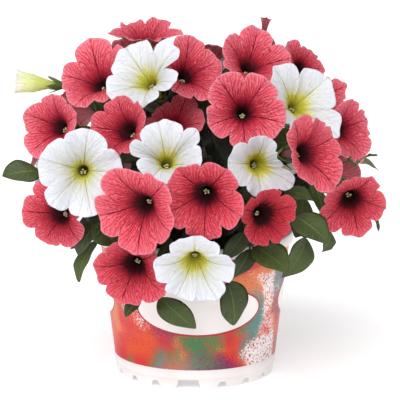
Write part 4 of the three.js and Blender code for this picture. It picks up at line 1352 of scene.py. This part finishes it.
def make_plant():
    blooms = all_blooms()
    named = {bloom.name: bloom for bloom in blooms}
    stems = [Stem(name, x, y, [named[n] for n in carried]) for name, x, y, carried in STEMS]
    leaves = all_leaves(stems, blooms)
    anthers = [
        grain_paint("anther_pollen", 0.8, 2600.0, (176, 160, 108), (236, 226, 188), 0.2),
        grain_paint("stigma_green", 0.35, 1400.0, (84, 96, 34), (142, 152, 66), 0.1),
    ]
    corals = [coral_paint("coral_petal", False), coral_paint("coral_petal_back", True)]
    whites = [white_paint("white_petal"), white_paint("white_petal_back")]
    petals = {
        "coral": ("coral_petal", corals),
        "white": ("white_petal", whites),
        "lime": ("lime_bud", [lime_paint(), lime_paint()]),
    }
    for bloom in blooms:
        slot, paints = petals[bloom.colour]
        dress(corolla(bloom).object(f"{bloom.name}_corolla", paints + anthers), bloom.name)
    greens = [
        stem_paint("stem_green", (52, 66, 26), (96, 112, 52)),
        leaf_paint("leaf_top", (28, 38, 20), (76, 94, 32), (112, 130, 62)),
        leaf_paint("leaf_under", (66, 82, 44), (104, 118, 66), (138, 150, 94)),
        stem_paint("calyx_green", (58, 76, 30), (104, 124, 56)),
    ]
    for stem in stems:
        dress(leafy_stem(stem, leaves[stem.name]).object(f"{stem.name}_foliage", greens), stem.name)


def make_pot():
    pot = pot_body().object("pot_body", [plastic_paint(), print_paint()])
    cut_drains(pot)
    dress(pot, "pot")
    dress(soil_body().object("soil_top", [soil_paint()]), "soil")


def make_stage():
    """A wide pale floor, an even sky and one soft sun from the upper left."""
    weave = Weave()
    ring = weave.add(tube_rings(circle(FLOOR_SIDES), [(FLOOR_RADIUS / MM, FLOOR_HEIGHT)]))
    weave.cap(ring[0], 0)
    weave.object("floor", [floor_paint()])
    world = bpy.data.worlds.new("studio")
    world.use_nodes = True
    sky = world.node_tree.nodes["Background"]
    sky.inputs["Color"].default_value = (1, 1, 1, 1)
    sky.inputs["Strength"].default_value = SKY_STRENGTH
    bpy.context.scene.world = world
    light = bpy.data.lights.new("sun", "SUN")
    light.energy = SUN_STRENGTH
    light.angle = math.radians(SUN_SPREAD)
    sun = bpy.data.objects.new("sun", light)
    sun.rotation_euler = (math.radians(90 - SUN_ELEVATION), 0, math.radians(SUN_AZIMUTH))
    bpy.context.scene.collection.objects.link(sun)
    bpy.context.scene.view_settings.view_transform = "Standard"


def make_camera():
    lens = bpy.data.cameras.new("camera")
    lens.sensor_width = SENSOR_WIDTH
    lens.lens = SENSOR_WIDTH * CAMERA_DISTANCE / (IMAGE_WIDTH * PIXEL_SIZE * MM)
    lens.clip_end = 50
    camera = bpy.data.objects.new("camera", lens)
    tilt = math.radians(CAMERA_ELEVATION)
    x, y, z = CAMERA_TARGET
    camera.location = (x, y - CAMERA_DISTANCE * math.cos(tilt), z + CAMERA_DISTANCE * math.sin(tilt))
    camera.rotation_euler = (math.pi / 2 - tilt, 0, 0)
    bpy.context.scene.collection.objects.link(camera)
    bpy.context.scene.camera = camera


make_camera()
make_stage()
make_pot()
make_plant()
